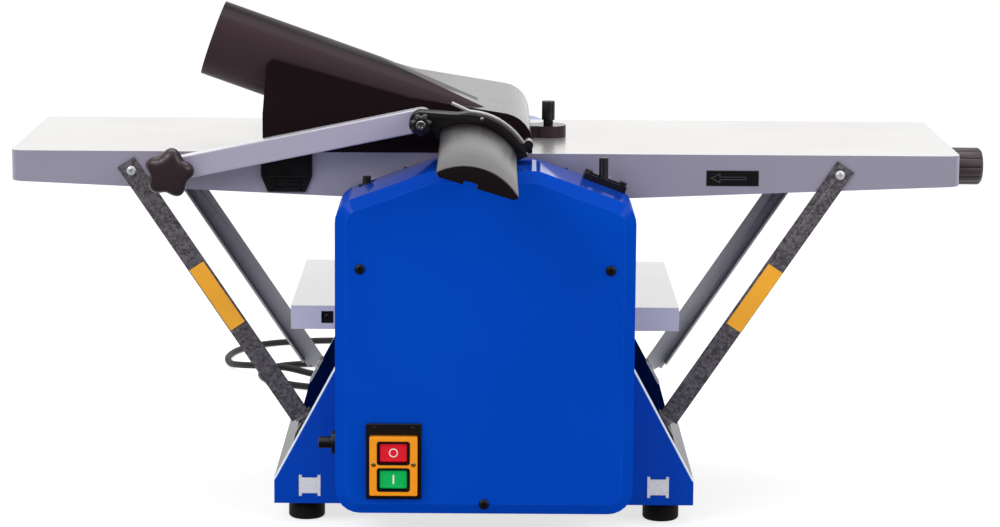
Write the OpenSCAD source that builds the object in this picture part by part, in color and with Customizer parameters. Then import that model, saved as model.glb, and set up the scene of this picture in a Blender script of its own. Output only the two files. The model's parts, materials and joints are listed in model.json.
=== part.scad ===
// Combination planer thicknesser, in millimetres.
// Origin on the floor at the centre of the four feet, +X to the infeed end, -Y to the operator, +Z up.

/* [Planer tables] */
// Length over both planer tables
table_len = 928; // [860:1:1000]
// Height of the working surface above the floor
table_top_z = 368; // [362:1:376]
// Depth of a table's skirt at its free end
table_end_h = 30; // [26:1:36]
// Depth of a table's skirt beside the drive cover
table_mid_h = 46; // [40:1:50]
// Thickness of a table's working plate
table_plate_t = 10; // [7:0.5:13]
// Thickness of a table's skirt walls
table_wall_t = 6; // [4:0.5:9]
// Radius of a table's upright corners
table_corner_r = 12; // [6:1:16]
// Opening between the two table lips
mouth_w = 38; // [37:1:42]
// Greatest depth of cut
cut_depth = 3; // [2:0.5:4]

/* [Thicknessing] */
// Length of the thickness table
thick_len = 382; // [350:1:410]
// Depth of the thickness table
thick_t = 23.5; // [20:0.5:27]
// Height between the thickness table and the knives as shown
throat_h = 98; // [90:1:106]
// Greatest height under the knives
throat_max = 120; // [112:1:122]
// Least height under the knives
throat_min = 6; // [5:1:12]

/* [Cutterblock and rollers] */
// Radius of the circle that the knives cut
cutter_r = 27; // [26:0.5:29]
// Distance that the knives stand out of the block
knife_out = 1.6; // [1:0.1:2.2]
// Length of the cutterblock
block_len = 258; // [250:1:262]
// Radius of the cutterblock's journals
journal_r = 7.5; // [6:0.5:8]
// Radius of the feed rollers
roller_r = 15; // [13:0.5:16]
// Distance from the cutterblock to each feed roller
roller_x = 52; // [50:1:56]
// Radius of the feed rollers' journals
roller_pin_r = 6; // [5:0.5:7]

/* [Base] */
// Height of the base above its feet
base_h = 146; // [140:1:148]
// Height of the upright rim at the base's foot
base_rim_h = 26; // [20:1:34]
// Thickness of the sheet steel
sheet_t = 4; // [3:0.5:4.5]
// Height of a rubber foot
foot_h = 19; // [16:1:22]
// Radius of a rubber foot
foot_r = 18; // [15:1:20]
// Distance between the feet, left to right
foot_span_x = 353; // [340:1:365]
// Radius of the bench bolt holes through the feet
bench_hole_r = 4.25; // [3.5:0.25:5.5]

/* [Covers] */
// Width of the drive cover
cover_w = 286; // [280:1:296]
// Depth of the drive cover
cover_d = 96; // [90:1:104]
// Depth of the rear cover
rear_cover_d = 54; // [52:1:64]
// Height of the covers' lower edge above the floor
cover_bottom_z = 32; // [28:1:35]
// Drop of the covers' top below the working surface
cover_drop = 3; // [2:0.5:4]
// Width of the covers' level top
cover_flat_w = 100; // [90:1:110]
// Slope of the covers' shoulders in degrees
cover_slope = 20; // [17:0.5:21]
// Wall of the covers
cover_wall = 3; // [2:0.25:3.5]
// Corner radius at the foot of the covers
cover_foot_r = 24; // [16:1:28]
// Corner radius at the shoulders of the covers
cover_shoulder_r = 24; // [16:1:28]
// Width of the bevel round the drive cover's face
cover_bevel = 11; // [6:0.5:14]
// Depth of the bevel round the drive cover's face
cover_bevel_d = 7; // [4:0.5:9]

/* [Struts] */
// Distance from the middle to the struts' upper screws
strut_top_x = 346; // [330:1:360]
// Drop of the upper screws below the working surface
strut_top_drop = 19; // [16:1:22]
// Height of the struts' feet above the base's rim
strut_foot_rise = 57; // [48:1:68]
// Width of a strut's flange
strut_w = 19.5; // [17.5:0.5:22]
// Depth of a strut's leg
strut_leg = 18; // [14:1:22]
// Thickness of the struts
strut_t = 2; // [1.5:0.25:3]
// Radius of the strut screws' shanks
strut_screw_r = 3; // [2.5:0.25:3.5]

/* [Switch] */
// Width of the switch's back plate
switch_w = 53; // [48:1:56]
// Height of the switch's back plate
switch_h = 74; // [70:1:78]
// Distance from the cover's middle to the switch's middle
switch_x = 86.5; // [82:0.5:92]
// Height of the switch's middle above the cover's lower edge
switch_rise = 53; // [50:1:60]
// Width of a button
button_w = 27; // [24:0.5:29]
// Height of a button
button_h = 18.5; // [16:0.5:20]
// Travel of the buttons
button_travel = 3; // [2:0.5:4]

/* [Cutter guard] */
// Distance from the middle to the guard arm's pivot
arm_pivot_x = 305; // [296:1:312]
// Drop of the arm's pivot below the working surface
arm_pivot_drop = 15; // [14:1:17]
// Length of the guard arm between its ends
arm_len = 247.5; // [242:0.5:252]
// Height of the guard arm's tip above the working surface
arm_tip_h = 35.5; // [33:0.5:38]
// Depth of the guard arm's section, top to bottom
arm_h = 22.5; // [19:0.5:24]
// Thickness of the guard arm
arm_t = 19; // [16:0.5:21]
// Radius of the large star knob
star_r = 24.5; // [20:0.5:28]
// Length of the guard
guard_len = 340; // [310:1:360]
// Chord of the guard's arched section
guard_chord = 76; // [70:1:80]
// Rise of the guard's arched section
guard_sag = 15; // [12:0.5:17]
// Thickness of the guard
guard_t = 5; // [4:0.25:6]
// Tilt of the guard in degrees
guard_tilt = 17; // [14:0.5:19]

/* [Chip hood] */
// Distance from the middle to the hood's high end
hood_left = 218; // [210:1:225]
// Distance from the middle to the hood's low end
hood_right = 45; // [42:1:50]
// Height of the hood's roof at its high end
hood_high = 92; // [86:1:98]
// Height of the hood's roof at its low end
hood_low = 35; // [32:0.5:38]
// Distance from the middle to the bend of the hood's roof
hood_bend_x = 75; // [65:1:85]
// Height of the hood's roof at its bend
hood_bend_h = 54; // [50:0.5:58]
// Wall of the hood
hood_wall = 3; // [2:0.25:3.5]
// Outer radius of the extraction tube
tube_r = 37.5; // [34:0.5:39]
// Tilt of the extraction tube in degrees
tube_tilt = 19.4; // [18:0.2:20.5]
// Distance from the middle to the tube's mouth
tube_mouth_x = 269; // [260:1:280]
// Height of the tube's mouth above the working surface
tube_mouth_h = 107; // [104:1:112]
// Distance from the tube's axis back to the middle of the tables
tube_y = 86; // [80:1:88]

/* [Mains lead] */
// Diameter of the mains lead
cord_d = 8; // [7:0.5:9]
// Turns in each layer of the coil
coil_turns = 2; // [2:1:3]
// Radius of the coil at its outermost turn
coil_r = 52; // [50:1:58]

/* [Hidden] */
$fn = 48;
cut_over = 1;
run_gap = 0.05;
slide_gap = 0.3;
seat_gap = 0.02;
arc_steps = 6;

paint_blue = [0.02, 0.2, 0.6];
pan_blue = [0.02, 0.16, 0.5];
alu_grey = [0.72, 0.71, 0.76];
steel_grey = [0.55, 0.56, 0.58];
zinc_grey = [0.6, 0.6, 0.63];
black = [0.09, 0.08, 0.09];
dark_grey = [0.25, 0.24, 0.26];
brass = [0.75, 0.6, 0.3];

// Widths that follow the cutterblock, and the base that follows its feet
table_side = 6;
table_w = block_len + 2 * table_side;
thick_side = 7;
thick_w = block_len + 2 * thick_side;
plate_side = 14;
base_d = block_len + 2 * (plate_side + sheet_t);
foot_in = 25;
foot_span_y = base_d - 2 * foot_in;
foot_out = 31;
base_w = foot_span_x + 2 * foot_out;

cut_z = table_top_z - cutter_r;
block_r = cutter_r - knife_out;
thick_top_z = cut_z - cutter_r - throat_h;
thick_bot_z = thick_top_z - thick_t;
rise_travel = throat_h - throat_min;
drop_travel = throat_max - throat_h;
base_half = base_w / 2;
base_rim_z = foot_h + base_rim_h;
base_top_z = foot_h + base_h;
plate_out = base_d / 2;
plate_in = plate_out - sheet_t;
cover_half = cover_w / 2;
cover_top_z = table_top_z - cover_drop;
cover_face_y = -plate_out - cover_d;
table_half = table_len / 2;
table_y = table_w / 2;

// Planer table details
lip_t = 4;
lip_reach = 14;
throat_plate_t = 14;
throat_reach = 80;
table_rib_t = 6;
table_rib_count = 3;
table_lug_w = 26;
table_lug_h = 20;
table_lug_x = 96;

// Feed and drive stations, measured out from the side plates
housing_d = 13;
bearing_w = 10;
bearing_r = 16;
housing_r = 19.5;
pulley_gap = 4;
pulley_w = 18;
cutter_pulley_r = 17;
motor_pulley_r = 14;
belt_t = 3;
feed_pulley_r = 11;
feed_pulley_w = 10;
gear_pulley_r = 28;
sprocket_r = 13;
sprocket_w = 5;
sprocket_step = 8;
chain_t = 4;
drive_out = plate_out + housing_d + pulley_gap;
chain_a_y = drive_out + feed_pulley_w + pulley_gap / 2;
chain_b_y = chain_a_y + sprocket_step;
output_drop = 71;
input_drop = 118;
output_r = 6;
roller_sink = 0.5;
roller_z = cut_z - cutter_r - roller_sink + roller_r;
roller_end = 3;
roller_len = block_len - 2 * roller_end;
block_t = 12;
block_w = 24;
block_h = 26;

// Motor
motor_x = 30;
motor_r = 56;
motor_len = 190;
motor_rise = 76;
motor_z = foot_h + motor_rise;
motor_nose_r = 32;
motor_shaft_r = 6;

// Lift of the thickness table
spindle_x = -115.5;
spindle_off = 10;
spindle_y = plate_out + spindle_off;
spindle_r = 8;
spindle_tip = 8;
spindle_tip_drop = 20;
spindle_tip_z = table_top_z - spindle_tip_drop;
spindle_foot_r = 6;
bearing_block_w = 26;
bearing_block_h = 8;
spindle_foot_gap = 3;
spindle_foot_z = cover_bottom_z + cover_wall + spindle_foot_gap;
lift_arm_drop = 42;
lift_arm_h = 18;
lift_arm_w = 30;
lift_arm_t = 12;
nut_r = 11;
lift_slot_gap = 1.5;
lift_sprocket_r = 16;
lift_sprocket_h = 6;
lift_sprocket_z = spindle_foot_z + bearing_block_h + spindle_foot_gap;
column_x = 84;
column_inset = 9;
column_y = plate_in - column_inset;
column_r = 8;
column_head = 7;
column_lug_w = 24;
column_gap = 4;
column_top_z = table_top_z - table_mid_h - column_gap;

// Fasteners
head_share = 1.9;
head_h_share = 1.1;
cover_screw_r = 3;
cover_screw_x = 119;
cover_screw_drop = 94;
cover_screw_rise = 11;
post_r = 6;

module y_prism(y0, y1) {
  translate([0, y1, 0]) rotate([90, 0, 0]) linear_extrude(y1 - y0) children();
}

module slab(lo, hi) {
  translate(lo) cube(hi - lo);
}

module x_rod(x0, x1, y, z, r) {
  translate([x0, y, z]) rotate([0, 90, 0]) cylinder(r = r, h = x1 - x0);
}

module y_rod(y0, y1, x, z, r) {
  translate([x, y0, z]) rotate([-90, 0, 0]) cylinder(r = r, h = y1 - y0);
}

module z_rod(z0, z1, x, y, r) {
  translate([x, y, z0]) cylinder(r = r, h = z1 - z0);
}

module both_x() {
  children();
  mirror([1, 0, 0]) children();
}

module both_y() {
  children();
  mirror([0, 1, 0]) children();
}

function unit(v) = v / norm(v);

// Arc of radius r that rounds corner b between a and c
function corner_arc(a, b, c, r) =
  let (u = unit(a - b), w = unit(c - b), half = acos(u * w) / 2)
  let (p = b + u * r / tan(half), q = b + w * r / tan(half))
  let (m = b + unit(u + w) * r / sin(half))
  let (a0 = atan2(p.y - m.y, p.x - m.x), a1 = atan2(q.y - m.y, q.x - m.x))
  let (turn = (a1 - a0 + 540) % 360 - 180)
  [for (i = [0:arc_steps]) m + r * [cos(a0 + turn * i / arc_steps), sin(a0 + turn * i / arc_steps)]];

function rounded(pts, radii) =
  let (n = len(pts))
  [for (i = [0:n - 1]) each corner_arc(pts[(i + n - 1) % n], pts[i], pts[(i + 1) % n], radii[i])];

// Outline of the covers, drawn in by inset
function cover_outline(inset) =
  let (half = cover_half - inset, low = cover_bottom_z + inset, high = cover_top_z - inset)
  let (flat = cover_flat_w / 2 - inset * tan(cover_slope / 2))
  let (shoulder = high - (half - flat) * tan(cover_slope))
  let (foot = max(cover_foot_r - inset, cover_wall), top = max(cover_shoulder_r - inset, cover_wall))
  rounded([[-half, low], [half, low], [half, shoulder], [flat, high], [-flat, high], [-half, shoulder]],
    [foot, foot, top, cover_foot_r, cover_foot_r, top]);

function base_outline() = [
  [-base_half, foot_h], [base_half, foot_h], [base_half, base_rim_z],
  [cover_half, base_top_z], [-cover_half, base_top_z], [-base_half, base_rim_z]];

base_lean = atan2(base_half - cover_half, base_top_z - base_rim_z);

// Outline of the pan and the rear plate, set back below the struts' feet
step_rise = 35;
step_z = base_rim_z + step_rise;
step_x = base_half - step_rise * tan(base_lean);

function stepped_outline() = [
  [-base_half, foot_h], [base_half, foot_h], [base_half, base_rim_z], [step_x, base_rim_z], [step_x, step_z],
  [cover_half, base_top_z], [-cover_half, base_top_z],
  [-step_x, step_z], [-step_x, base_rim_z], [-base_half, base_rim_z]];

module at_feet() {
  for (sx = [-1, 1], sy = [-1, 1])
    translate([sx * foot_span_x / 2, sy * foot_span_y / 2, 0]) children();
}

// Open belt or chain round two wheels, drawn in X and Z
module loop_shape(a, ra, b, rb) {
  phi = atan2(b.y - a.y, b.x - a.x);
  beta = acos((ra - rb) / norm(b - a));
  translate(a) circle(r = ra);
  translate(b) circle(r = rb);
  polygon([
    a + ra * [cos(phi + beta), sin(phi + beta)], a + ra * [cos(phi - beta), sin(phi - beta)],
    b + rb * [cos(phi - beta), sin(phi - beta)], b + rb * [cos(phi + beta), sin(phi + beta)]]);
}

module band(a, ra, b, rb, t) {
  difference() {
    loop_shape(a, ra + slide_gap + t, b, rb + slide_gap + t);
    loop_shape(a, ra + slide_gap, b, rb + slide_gap);
  }
}

// Base and plates

module base_pan() {
  color(pan_blue) difference() {
    y_prism(-plate_in, plate_in) difference() {
      polygon(stepped_outline());
      polygon([
        [-base_half + sheet_t, foot_h + sheet_t], [base_half - sheet_t, foot_h + sheet_t],
        [base_half - sheet_t, base_rim_z - sheet_t], [step_x - sheet_t, base_rim_z - sheet_t],
        [step_x - sheet_t, step_z], [cover_half - sheet_t, base_top_z],
        [cover_half - sheet_t, base_top_z + cut_over], [-cover_half + sheet_t, base_top_z + cut_over],
        [-cover_half + sheet_t, base_top_z], [-step_x + sheet_t, step_z],
        [-step_x + sheet_t, base_rim_z - sheet_t], [-base_half + sheet_t, base_rim_z - sheet_t]]);
    }
    at_feet() z_rod(0, base_rim_z, 0, 0, bench_hole_r);
    both_x() both_y() at_strut_foot() translate([0, 0, -2 * sheet_t])
      cylinder(r = strut_screw_r + seat_gap, h = 3 * sheet_t);
  }
}

module rubber_feet() {
  foot_chamfer = 2;
  color(black) at_feet() rotate_extrude() polygon([
    [bench_hole_r, 0], [foot_r - foot_chamfer, 0], [foot_r, foot_chamfer],
    [foot_r, foot_h], [bench_hole_r, foot_h]]);
}

// Opening for a lock tab near each foot of a plate, with a taller slot at each side
module tab_opening() {
  tab_w = 22;
  tab_h = 22;
  tab_mid_share = 0.75;
  tab_slot_share = 0.16;
  tab_in = 4;
  tab_x = foot_span_x / 2 - tab_in;
  tab_lift = 7;
  translate([tab_x, foot_h + tab_lift + tab_h / 2]) {
    square([tab_w, tab_h * tab_mid_share], center = true);
    for (s = [-1, 1]) translate([s * tab_w * (1 - tab_slot_share) / 2, 0])
      square([tab_w * tab_slot_share, tab_h], center = true);
  }
}

module plate_shape(outline) {
  tower_free = 1;
  tower_inset = cover_wall + tower_free;
  difference() {
    union() {
      polygon(outline);
      intersection() {
        polygon(cover_outline(tower_inset));
        translate([-cover_half, base_rim_z]) square([cover_w, cover_top_z]);
      }
    }
    both_x() tab_opening();
    translate([0, cut_z]) circle(r = journal_r + pulley_gap / 2);
    lift_half = lift_arm_w / 2 + lift_slot_gap;
    lift_low = thick_bot_z - lift_arm_drop - drop_travel - lift_slot_gap;
    translate([spindle_x - lift_half, lift_low])
      square([2 * lift_half, lift_arm_h + rise_travel + drop_travel + 2 * lift_slot_gap]);
    chain_half = lift_sprocket_r + chain_t + lift_slot_gap;
    translate([spindle_x - chain_half, lift_sprocket_z - lift_slot_gap])
      square([2 * chain_half, lift_sprocket_h + 2 * lift_slot_gap]);
  }
}

// Welded lugs of a plate: the heads of two guide columns and the spindle's foot bearing
module plate_lugs() {
  difference() {
    union() {
      for (s = [-1, 1]) slab(
        [s * column_x - column_lug_w / 2, -plate_in, column_top_z - column_head],
        [s * column_x + column_lug_w / 2, -column_y + column_r, column_top_z]);
      slab([spindle_x - bearing_block_w / 2, -spindle_y - bearing_block_w / 2, spindle_foot_z],
        [spindle_x + bearing_block_w / 2, -plate_out, spindle_foot_z + bearing_block_h]);
    }
    for (s = [-1, 1]) z_rod(0, table_top_z, s * column_x, -column_y, column_r + seat_gap);
    z_rod(0, table_top_z, spindle_x, -spindle_y, spindle_foot_r + run_gap);
  }
}

screw_drop_z = cover_top_z - cover_screw_drop;
screw_rise_z = cover_bottom_z + cover_screw_rise;

// Posts that carry a cover, standing out by depth from the plate, the lowest one short of its bevel
module cover_stands(depth, bevel_d) {
  difference() {
    union() {
      y_rod(-plate_out - depth, -plate_out, cover_screw_x, screw_drop_z, post_r);
      y_rod(-plate_out - depth + bevel_d, -plate_out, 0, screw_rise_z, post_r);
      slab([-cover_screw_x - post_r, -plate_out - depth, screw_drop_z - post_r],
        [spindle_x + bearing_block_w / 2, -plate_out, screw_drop_z + post_r]);
    }
    z_rod(0, table_top_z, spindle_x, -spindle_y, spindle_r + run_gap);
    cover_screw_holes(depth);
  }
}

module cover_screw_holes(depth) {
  deep = plate_out + depth;
  for (p = [[-cover_screw_x, screw_drop_z], [cover_screw_x, screw_drop_z], [0, screw_rise_z]])
    y_rod(-deep - 2 * cover_bevel_d, -deep + 2 * post_r, p.x, p.y, cover_screw_r + seat_gap);
}

module front_plate() {
  color(paint_blue) {
    difference() {
      y_prism(-plate_out, -plate_in) plate_shape(base_outline());
      y_rod(-plate_out - cut_over, -plate_in + cut_over, motor_x, motor_z, motor_shaft_r + pulley_gap);
    }
    plate_lugs();
    cover_stands(cover_d - cover_wall, cover_bevel_d);
    lever_pin();
  }
}

module rear_plate() {
  color(paint_blue) {
    difference() {
      y_prism(plate_in, plate_out) plate_shape(stepped_outline());
      for (s = [-1, 1]) y_rod(plate_in - cut_over, plate_out + cut_over, s * roller_x, roller_z,
        roller_pin_r + pulley_gap / 2);
      y_rod(plate_in - cut_over, plate_out + cut_over, gland_x, gland_z, gland_thread_r + seat_gap);
    }
    mirror([0, 1, 0]) {
      plate_lugs();
      cover_stands(rear_cover_d - cover_wall, rear_bevel);
    }
  }
}

// Solid from the covers' outline at y0 to the same outline drawn in by inset at y1
module bevel_block(y0, y1, inset) {
  outer = cover_outline(0);
  n = len(outer);
  pts = concat([for (p = outer) [p.x, y0, p.y]], [for (p = cover_outline(inset)) [p.x, y1, p.y]]);
  walls = [for (i = [0:n - 1]) let (j = (i + 1) % n) each [[j, i, n + i], [j, n + i, n + j]]];
  polyhedron(points = pts, faces = concat([[for (i = [0:n - 1]) i], [for (i = [1:n]) 2 * n - i]], walls));
}

// Hollow cover, open towards the plate, with holes for its three screws
module cover_shell(depth, bevel, bevel_d) {
  difference() {
    union() {
      y_prism(-plate_out - depth + bevel_d, -plate_out) polygon(cover_outline(0));
      bevel_block(-plate_out - depth + bevel_d, -plate_out - depth, bevel);
    }
    y_prism(-plate_out - depth + bevel_d + cover_wall, -plate_out + cut_over)
      polygon(cover_outline(cover_wall));
    y_prism(-plate_out - depth + cover_wall, -plate_out) polygon(cover_outline(bevel + cover_wall));
    cover_screw_holes(depth - cover_wall);
  }
}

boss_hole_gap = 1;
boss_hole_r = spindle_tip + boss_hole_gap;
rear_bevel = 6;
cover_screw_len = 14;
depth_drop = 28;
depth_z = table_top_z - depth_drop;
depth_pin_r = 5;
depth_pin_len = 30;
depth_knob_r = 19;
depth_knob_len = 41;
depth_chamfer = 3;
knob_grooves = 20;
arrow_plate_x = 241;
arrow_plate_drop = 23;
arrow_plate_t = 1;
plate_wide = 51;
plate_tall = 15;
knife_t = 3;
knife_deep = 14;
knife_turn = 38;
knife_land = 0.4;
stop_hole = 12;
stop_hole_x = 30;

module drive_cover() {
  color(paint_blue) difference() {
    cover_shell(cover_d, cover_bevel, cover_bevel_d);
    z_rod(cover_bottom_z + cover_d, table_top_z, spindle_x, -spindle_y, boss_hole_r);
    lever_slot(lever_slot_w);
    translate([-cover_half - cut_over, breaker_y, breaker_z]) rotate([0, 90, 0])
      cylinder(r = breaker_r + seat_gap, h = cover_bevel);
    box_half = [switch_box_w / 2 + seat_gap, switch_box_h / 2 + seat_gap];
    slab([-switch_x - box_half.x, cover_face_y - cut_over, switch_z - box_half.y],
      [-switch_x + box_half.x, cover_face_y + 2 * cover_bevel_d, switch_z + box_half.y]);
  }
}

module rear_cover() {
  color(paint_blue) mirror([0, 1, 0]) cover_shell(rear_cover_d, rear_bevel, rear_bevel);
}

// Pan-head screw along +Z: shank below the seat, head above it
module pan_screw(r, length) {
  head_r = r * head_share;
  head_h = r * head_h_share;
  slot_share = 0.3;
  slot_w = r * slot_share;
  difference() {
    union() {
      translate([0, 0, -length]) cylinder(r = r, h = length);
      cylinder(r = head_r, h = head_h);
    }
    for (a = [0, 90]) rotate([0, 0, a]) translate([-head_r / 2, -slot_w / 2, head_h / 2])
      cube([head_r, slot_w, head_h]);
  }
}

module cover_screws() {
  color(black) for (s = [1, -1], p = [[-1, screw_drop_z], [1, screw_drop_z], [0, screw_rise_z]])
    translate([p.x * cover_screw_x, s > 0 ? cover_face_y : plate_out + rear_cover_d, p.y])
      rotate([s * 90, 0, 0]) pan_screw(cover_screw_r, cover_screw_len);
}

// Planer tables

// Side profile of a table, running out from the cutterblock along +X
function table_profile() = [
  [mouth_w / 2, table_top_z], [mouth_w / 2, table_top_z - lip_t],
  [mouth_w / 2 + lip_reach, table_top_z - throat_plate_t], [throat_reach, table_top_z - throat_plate_t],
  [throat_reach, table_top_z - table_mid_h], [table_half, table_top_z - table_end_h],
  [table_half, table_top_z]];

module table_plan() {
  translate([mouth_w / 2, -table_y]) square([table_half - mouth_w / 2 - table_corner_r, table_w]);
  translate([mouth_w / 2, -table_y + table_corner_r])
    square([table_half - mouth_w / 2, table_w - 2 * table_corner_r]);
  for (s = [-1, 1]) translate([table_half - table_corner_r, s * (table_y - table_corner_r)])
    circle(r = table_corner_r);
}

// Table casting with its plate, skirt and cross ribs, running out along +X
module table_casting() {
  bay_start = throat_reach + table_wall_t;
  bay_all = table_half - table_wall_t - bay_start;
  bay = (bay_all - table_rib_count * table_rib_t) / (table_rib_count + 1);
  difference() {
    intersection() {
      y_prism(-table_y, table_y) polygon(table_profile());
      translate([0, 0, table_top_z - table_mid_h]) linear_extrude(table_mid_h) table_plan();
    }
    for (i = [0:table_rib_count]) translate([bay_start + i * (bay + table_rib_t), 0, 0])
      slab([0, -table_y + table_wall_t, 0], [bay, table_y - table_wall_t, table_top_z - table_plate_t]);
    for (s = [-1, 1]) y_rod(s * table_y - table_wall_t - cut_over, s * table_y + table_wall_t + cut_over,
      strut_top_x, strut_top_z, strut_screw_r + seat_gap);
  }
}

// Lugs that hold a table between the plates
module table_lugs(gap) {
  both_y() slab([table_lug_x, -plate_in + gap, table_top_z - table_mid_h],
    [table_lug_x + table_lug_w, -table_y + table_wall_t / 2, table_top_z - table_mid_h + table_lug_h]);
}

module outfeed_table() {
  color(alu_grey) difference() {
    mirror([1, 0, 0]) {
      table_casting();
      table_lugs(0);
    }
    y_rod(-table_y - cut_over, -table_y + table_wall_t + cut_over, -arm_pivot_x, arm_pivot_z,
      stud_r + seat_gap);
  }
}

module infeed_table() {
  color(alu_grey) difference() {
    union() {
      table_casting();
      table_lugs(slide_gap);
    }
    x_rod(table_half - table_wall_t - cut_over, table_half + cut_over, 0, depth_z, depth_pin_r + run_gap);
    z_rod(table_top_z - table_plate_t - cut_over, table_top_z + cut_over, thumb_x, 0, thumb_pin_r + slide_gap);
  }
}

// Bare plate with a feed arrow, on the infeed table's front
module feed_arrow_plate() {
  arrow_head_share = 0.62;
  arrow_tip_share = 0.42;
  arrow_tail_share = 0.5;
  arrow_head = plate_tall * arrow_head_share;
  color(black) y_prism(-table_y - arrow_plate_t, -table_y) difference() {
    translate([arrow_plate_x, table_top_z - arrow_plate_drop])
      square([plate_wide, plate_tall], center = true);
    translate([arrow_plate_x - plate_wide * arrow_tip_share, table_top_z - arrow_plate_drop]) {
      polygon([[0, 0], [arrow_head, arrow_head / 2], [arrow_head, -arrow_head / 2]]);
      translate([arrow_head, -arrow_head / 6]) square([plate_wide * arrow_tail_share, arrow_head / 3]);
    }
  }
}

module depth_knob() {
  groove_share = 0.055;
  rib_r = depth_knob_r * groove_share;
  color(dark_grey) {
    difference() {
      translate([table_half + slide_gap, 0, depth_z]) rotate([0, 90, 0]) rotate_extrude() polygon([
        [0, 0], [depth_knob_r, 0], [depth_knob_r, depth_knob_len - depth_chamfer],
        [depth_knob_r - depth_chamfer, depth_knob_len], [0, depth_knob_len]]);
      for (i = [0:knob_grooves - 1]) rotate_at_knob(i * 360 / knob_grooves)
        x_rod(table_half, table_half + depth_knob_len + cut_over, depth_knob_r, 0, rib_r);
    }
    x_rod(table_half - depth_pin_len, table_half + slide_gap + cut_over, 0, depth_z, depth_pin_r);
  }
}

module rotate_at_knob(angle) {
  translate([0, 0, depth_z]) rotate([angle, 0, 0]) children();
}

// Struts

strut_top_z = table_top_z - strut_top_drop;
strut_foot_z = base_rim_z + strut_foot_rise;
strut_foot_x = base_half - strut_foot_rise * tan(base_lean);
strut_foot_up_share = 0.45;
strut_foot_down_share = 0.95;
strut_web_share = 0.3;
strut_web_out_share = 0.45;
strut_low_share = 0.44;

// Frame whose +Z points out of the base's right slope at a front strut's foot
module at_strut_foot() {
  translate([strut_foot_x, -strut_foot_y, strut_foot_z]) rotate([0, 90 - base_lean, 0]) children();
}

strut_foot_y = table_y - strut_leg / 2;
strut_base = [strut_foot_x + strut_w / 2, strut_foot_z + strut_w / 2];
strut_run = [strut_top_x, strut_top_z] - strut_base;
strut_angle = atan2(strut_run.x, strut_run.y);
strut_long = norm(strut_run);

// Strut in the front right place, gap away from the table's front
module strut(gap) {
  y0 = -table_y - strut_t - gap;
  color(zinc_grey) difference() {
    union() {
      translate([strut_base.x, 0, strut_base.y]) rotate([0, strut_angle, 0]) {
        slab([-strut_w / 2, y0, -strut_w * strut_low_share],
          [strut_w / 2, y0 + strut_t, strut_long + strut_w / 2]);
        slab([strut_w / 2 - strut_t, y0, 0], [strut_w / 2, y0 + strut_leg, strut_long - strut_w]);
      }
      at_strut_foot() {
        slab([-strut_w * strut_foot_up_share, y0 + strut_foot_y, 0],
          [strut_w * strut_foot_down_share, y0 + strut_foot_y + strut_leg, strut_t]);
        slab([-strut_w * strut_foot_up_share, y0 + strut_foot_y, 0],
          [strut_w * strut_web_share, y0 + strut_foot_y + strut_t, strut_w * strut_web_out_share]);
      }
    }
    for (drop = gap > 0 ? [0, cut_depth] : [0])
      y_rod(y0 - cut_over, y0 + strut_t + cut_over, strut_top_x, strut_top_z - drop, strut_screw_r + slide_gap);
    if (gap > 0) slab([strut_top_x - strut_screw_r - slide_gap, y0 - cut_over, strut_top_z - cut_depth],
      [strut_top_x + strut_screw_r + slide_gap, y0 + strut_t + cut_over, strut_top_z]);
    at_strut_foot() cylinder(r = strut_screw_r + slide_gap, h = 2 * strut_w, center = true);
  }
}

module front_infeed_strut() { strut(slide_gap); }
module rear_infeed_strut() { mirror([0, 1, 0]) strut(slide_gap); }
module front_outfeed_strut() { mirror([1, 0, 0]) strut(0); }
module rear_outfeed_strut() { mirror([1, 0, 0]) mirror([0, 1, 0]) strut(0); }

// Upper strut screws on one side, standing gap off the strut
module upper_screws(gap) {
  both_y() translate([strut_top_x, -table_y - strut_t - gap, strut_top_z]) rotate([90, 0, 0])
    pan_screw(strut_screw_r, strut_t + gap + table_wall_t);
}

module infeed_strut_screws() { color(steel_grey) upper_screws(2 * slide_gap); }

module fixed_strut_screws() {
  color(steel_grey) {
    mirror([1, 0, 0]) upper_screws(0);
    both_x() both_y() at_strut_foot() translate([0, 0, strut_t]) pan_screw(strut_screw_r, strut_t + sheet_t);
  }
}

// Cutterblock and its drive

module bearing_housings() {
  color(dark_grey) both_y() difference() {
    y_rod(-plate_out - housing_d, -plate_out, 0, cut_z, housing_r);
    y_rod(-plate_out - housing_d - cut_over, -plate_out - housing_d + bearing_w, 0, cut_z,
      bearing_r + seat_gap);
    y_rod(-plate_out - housing_d, -plate_out + cut_over, 0, cut_z, journal_r + pulley_gap / 2);
  }
}

module cutter_bearings() {
  color(steel_grey) both_y() difference() {
    y_rod(-plate_out - housing_d, -plate_out - housing_d + bearing_w, 0, cut_z, bearing_r);
    y_rod(-plate_out - housing_d - cut_over, -plate_out, 0, cut_z, journal_r + run_gap);
  }
}

module at_knives() {
  for (a = [0, 180]) translate([0, 0, cut_z]) rotate([0, knife_turn + a, 0]) children();
}

module cutterblock() {
  color(steel_grey) difference() {
    union() {
      y_rod(-block_len / 2, block_len / 2, 0, cut_z, block_r);
      y_rod(-drive_out - pulley_w, drive_out + feed_pulley_w, 0, cut_z, journal_r);
      y_rod(drive_out, drive_out + feed_pulley_w, 0, cut_z, feed_pulley_r);
      pulley(-drive_out - pulley_w, -drive_out, 0, cut_z, cutter_pulley_r);
    }
    at_knives() slab([-knife_t / 2 - seat_gap, -block_len / 2 - cut_over, block_r - knife_deep],
      [knife_t / 2 + seat_gap, block_len / 2 + cut_over, cutter_r]);
  }
}

module planer_knives() {
  color(zinc_grey) at_knives() y_prism(-block_len / 2, block_len / 2) polygon([
    [-knife_t / 2, block_r - knife_deep], [knife_t / 2, block_r - knife_deep],
    [knife_t / 2, block_r], [0, cutter_r - knife_land], [-knife_t / 2, cutter_r - knife_land]]);
}

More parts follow.
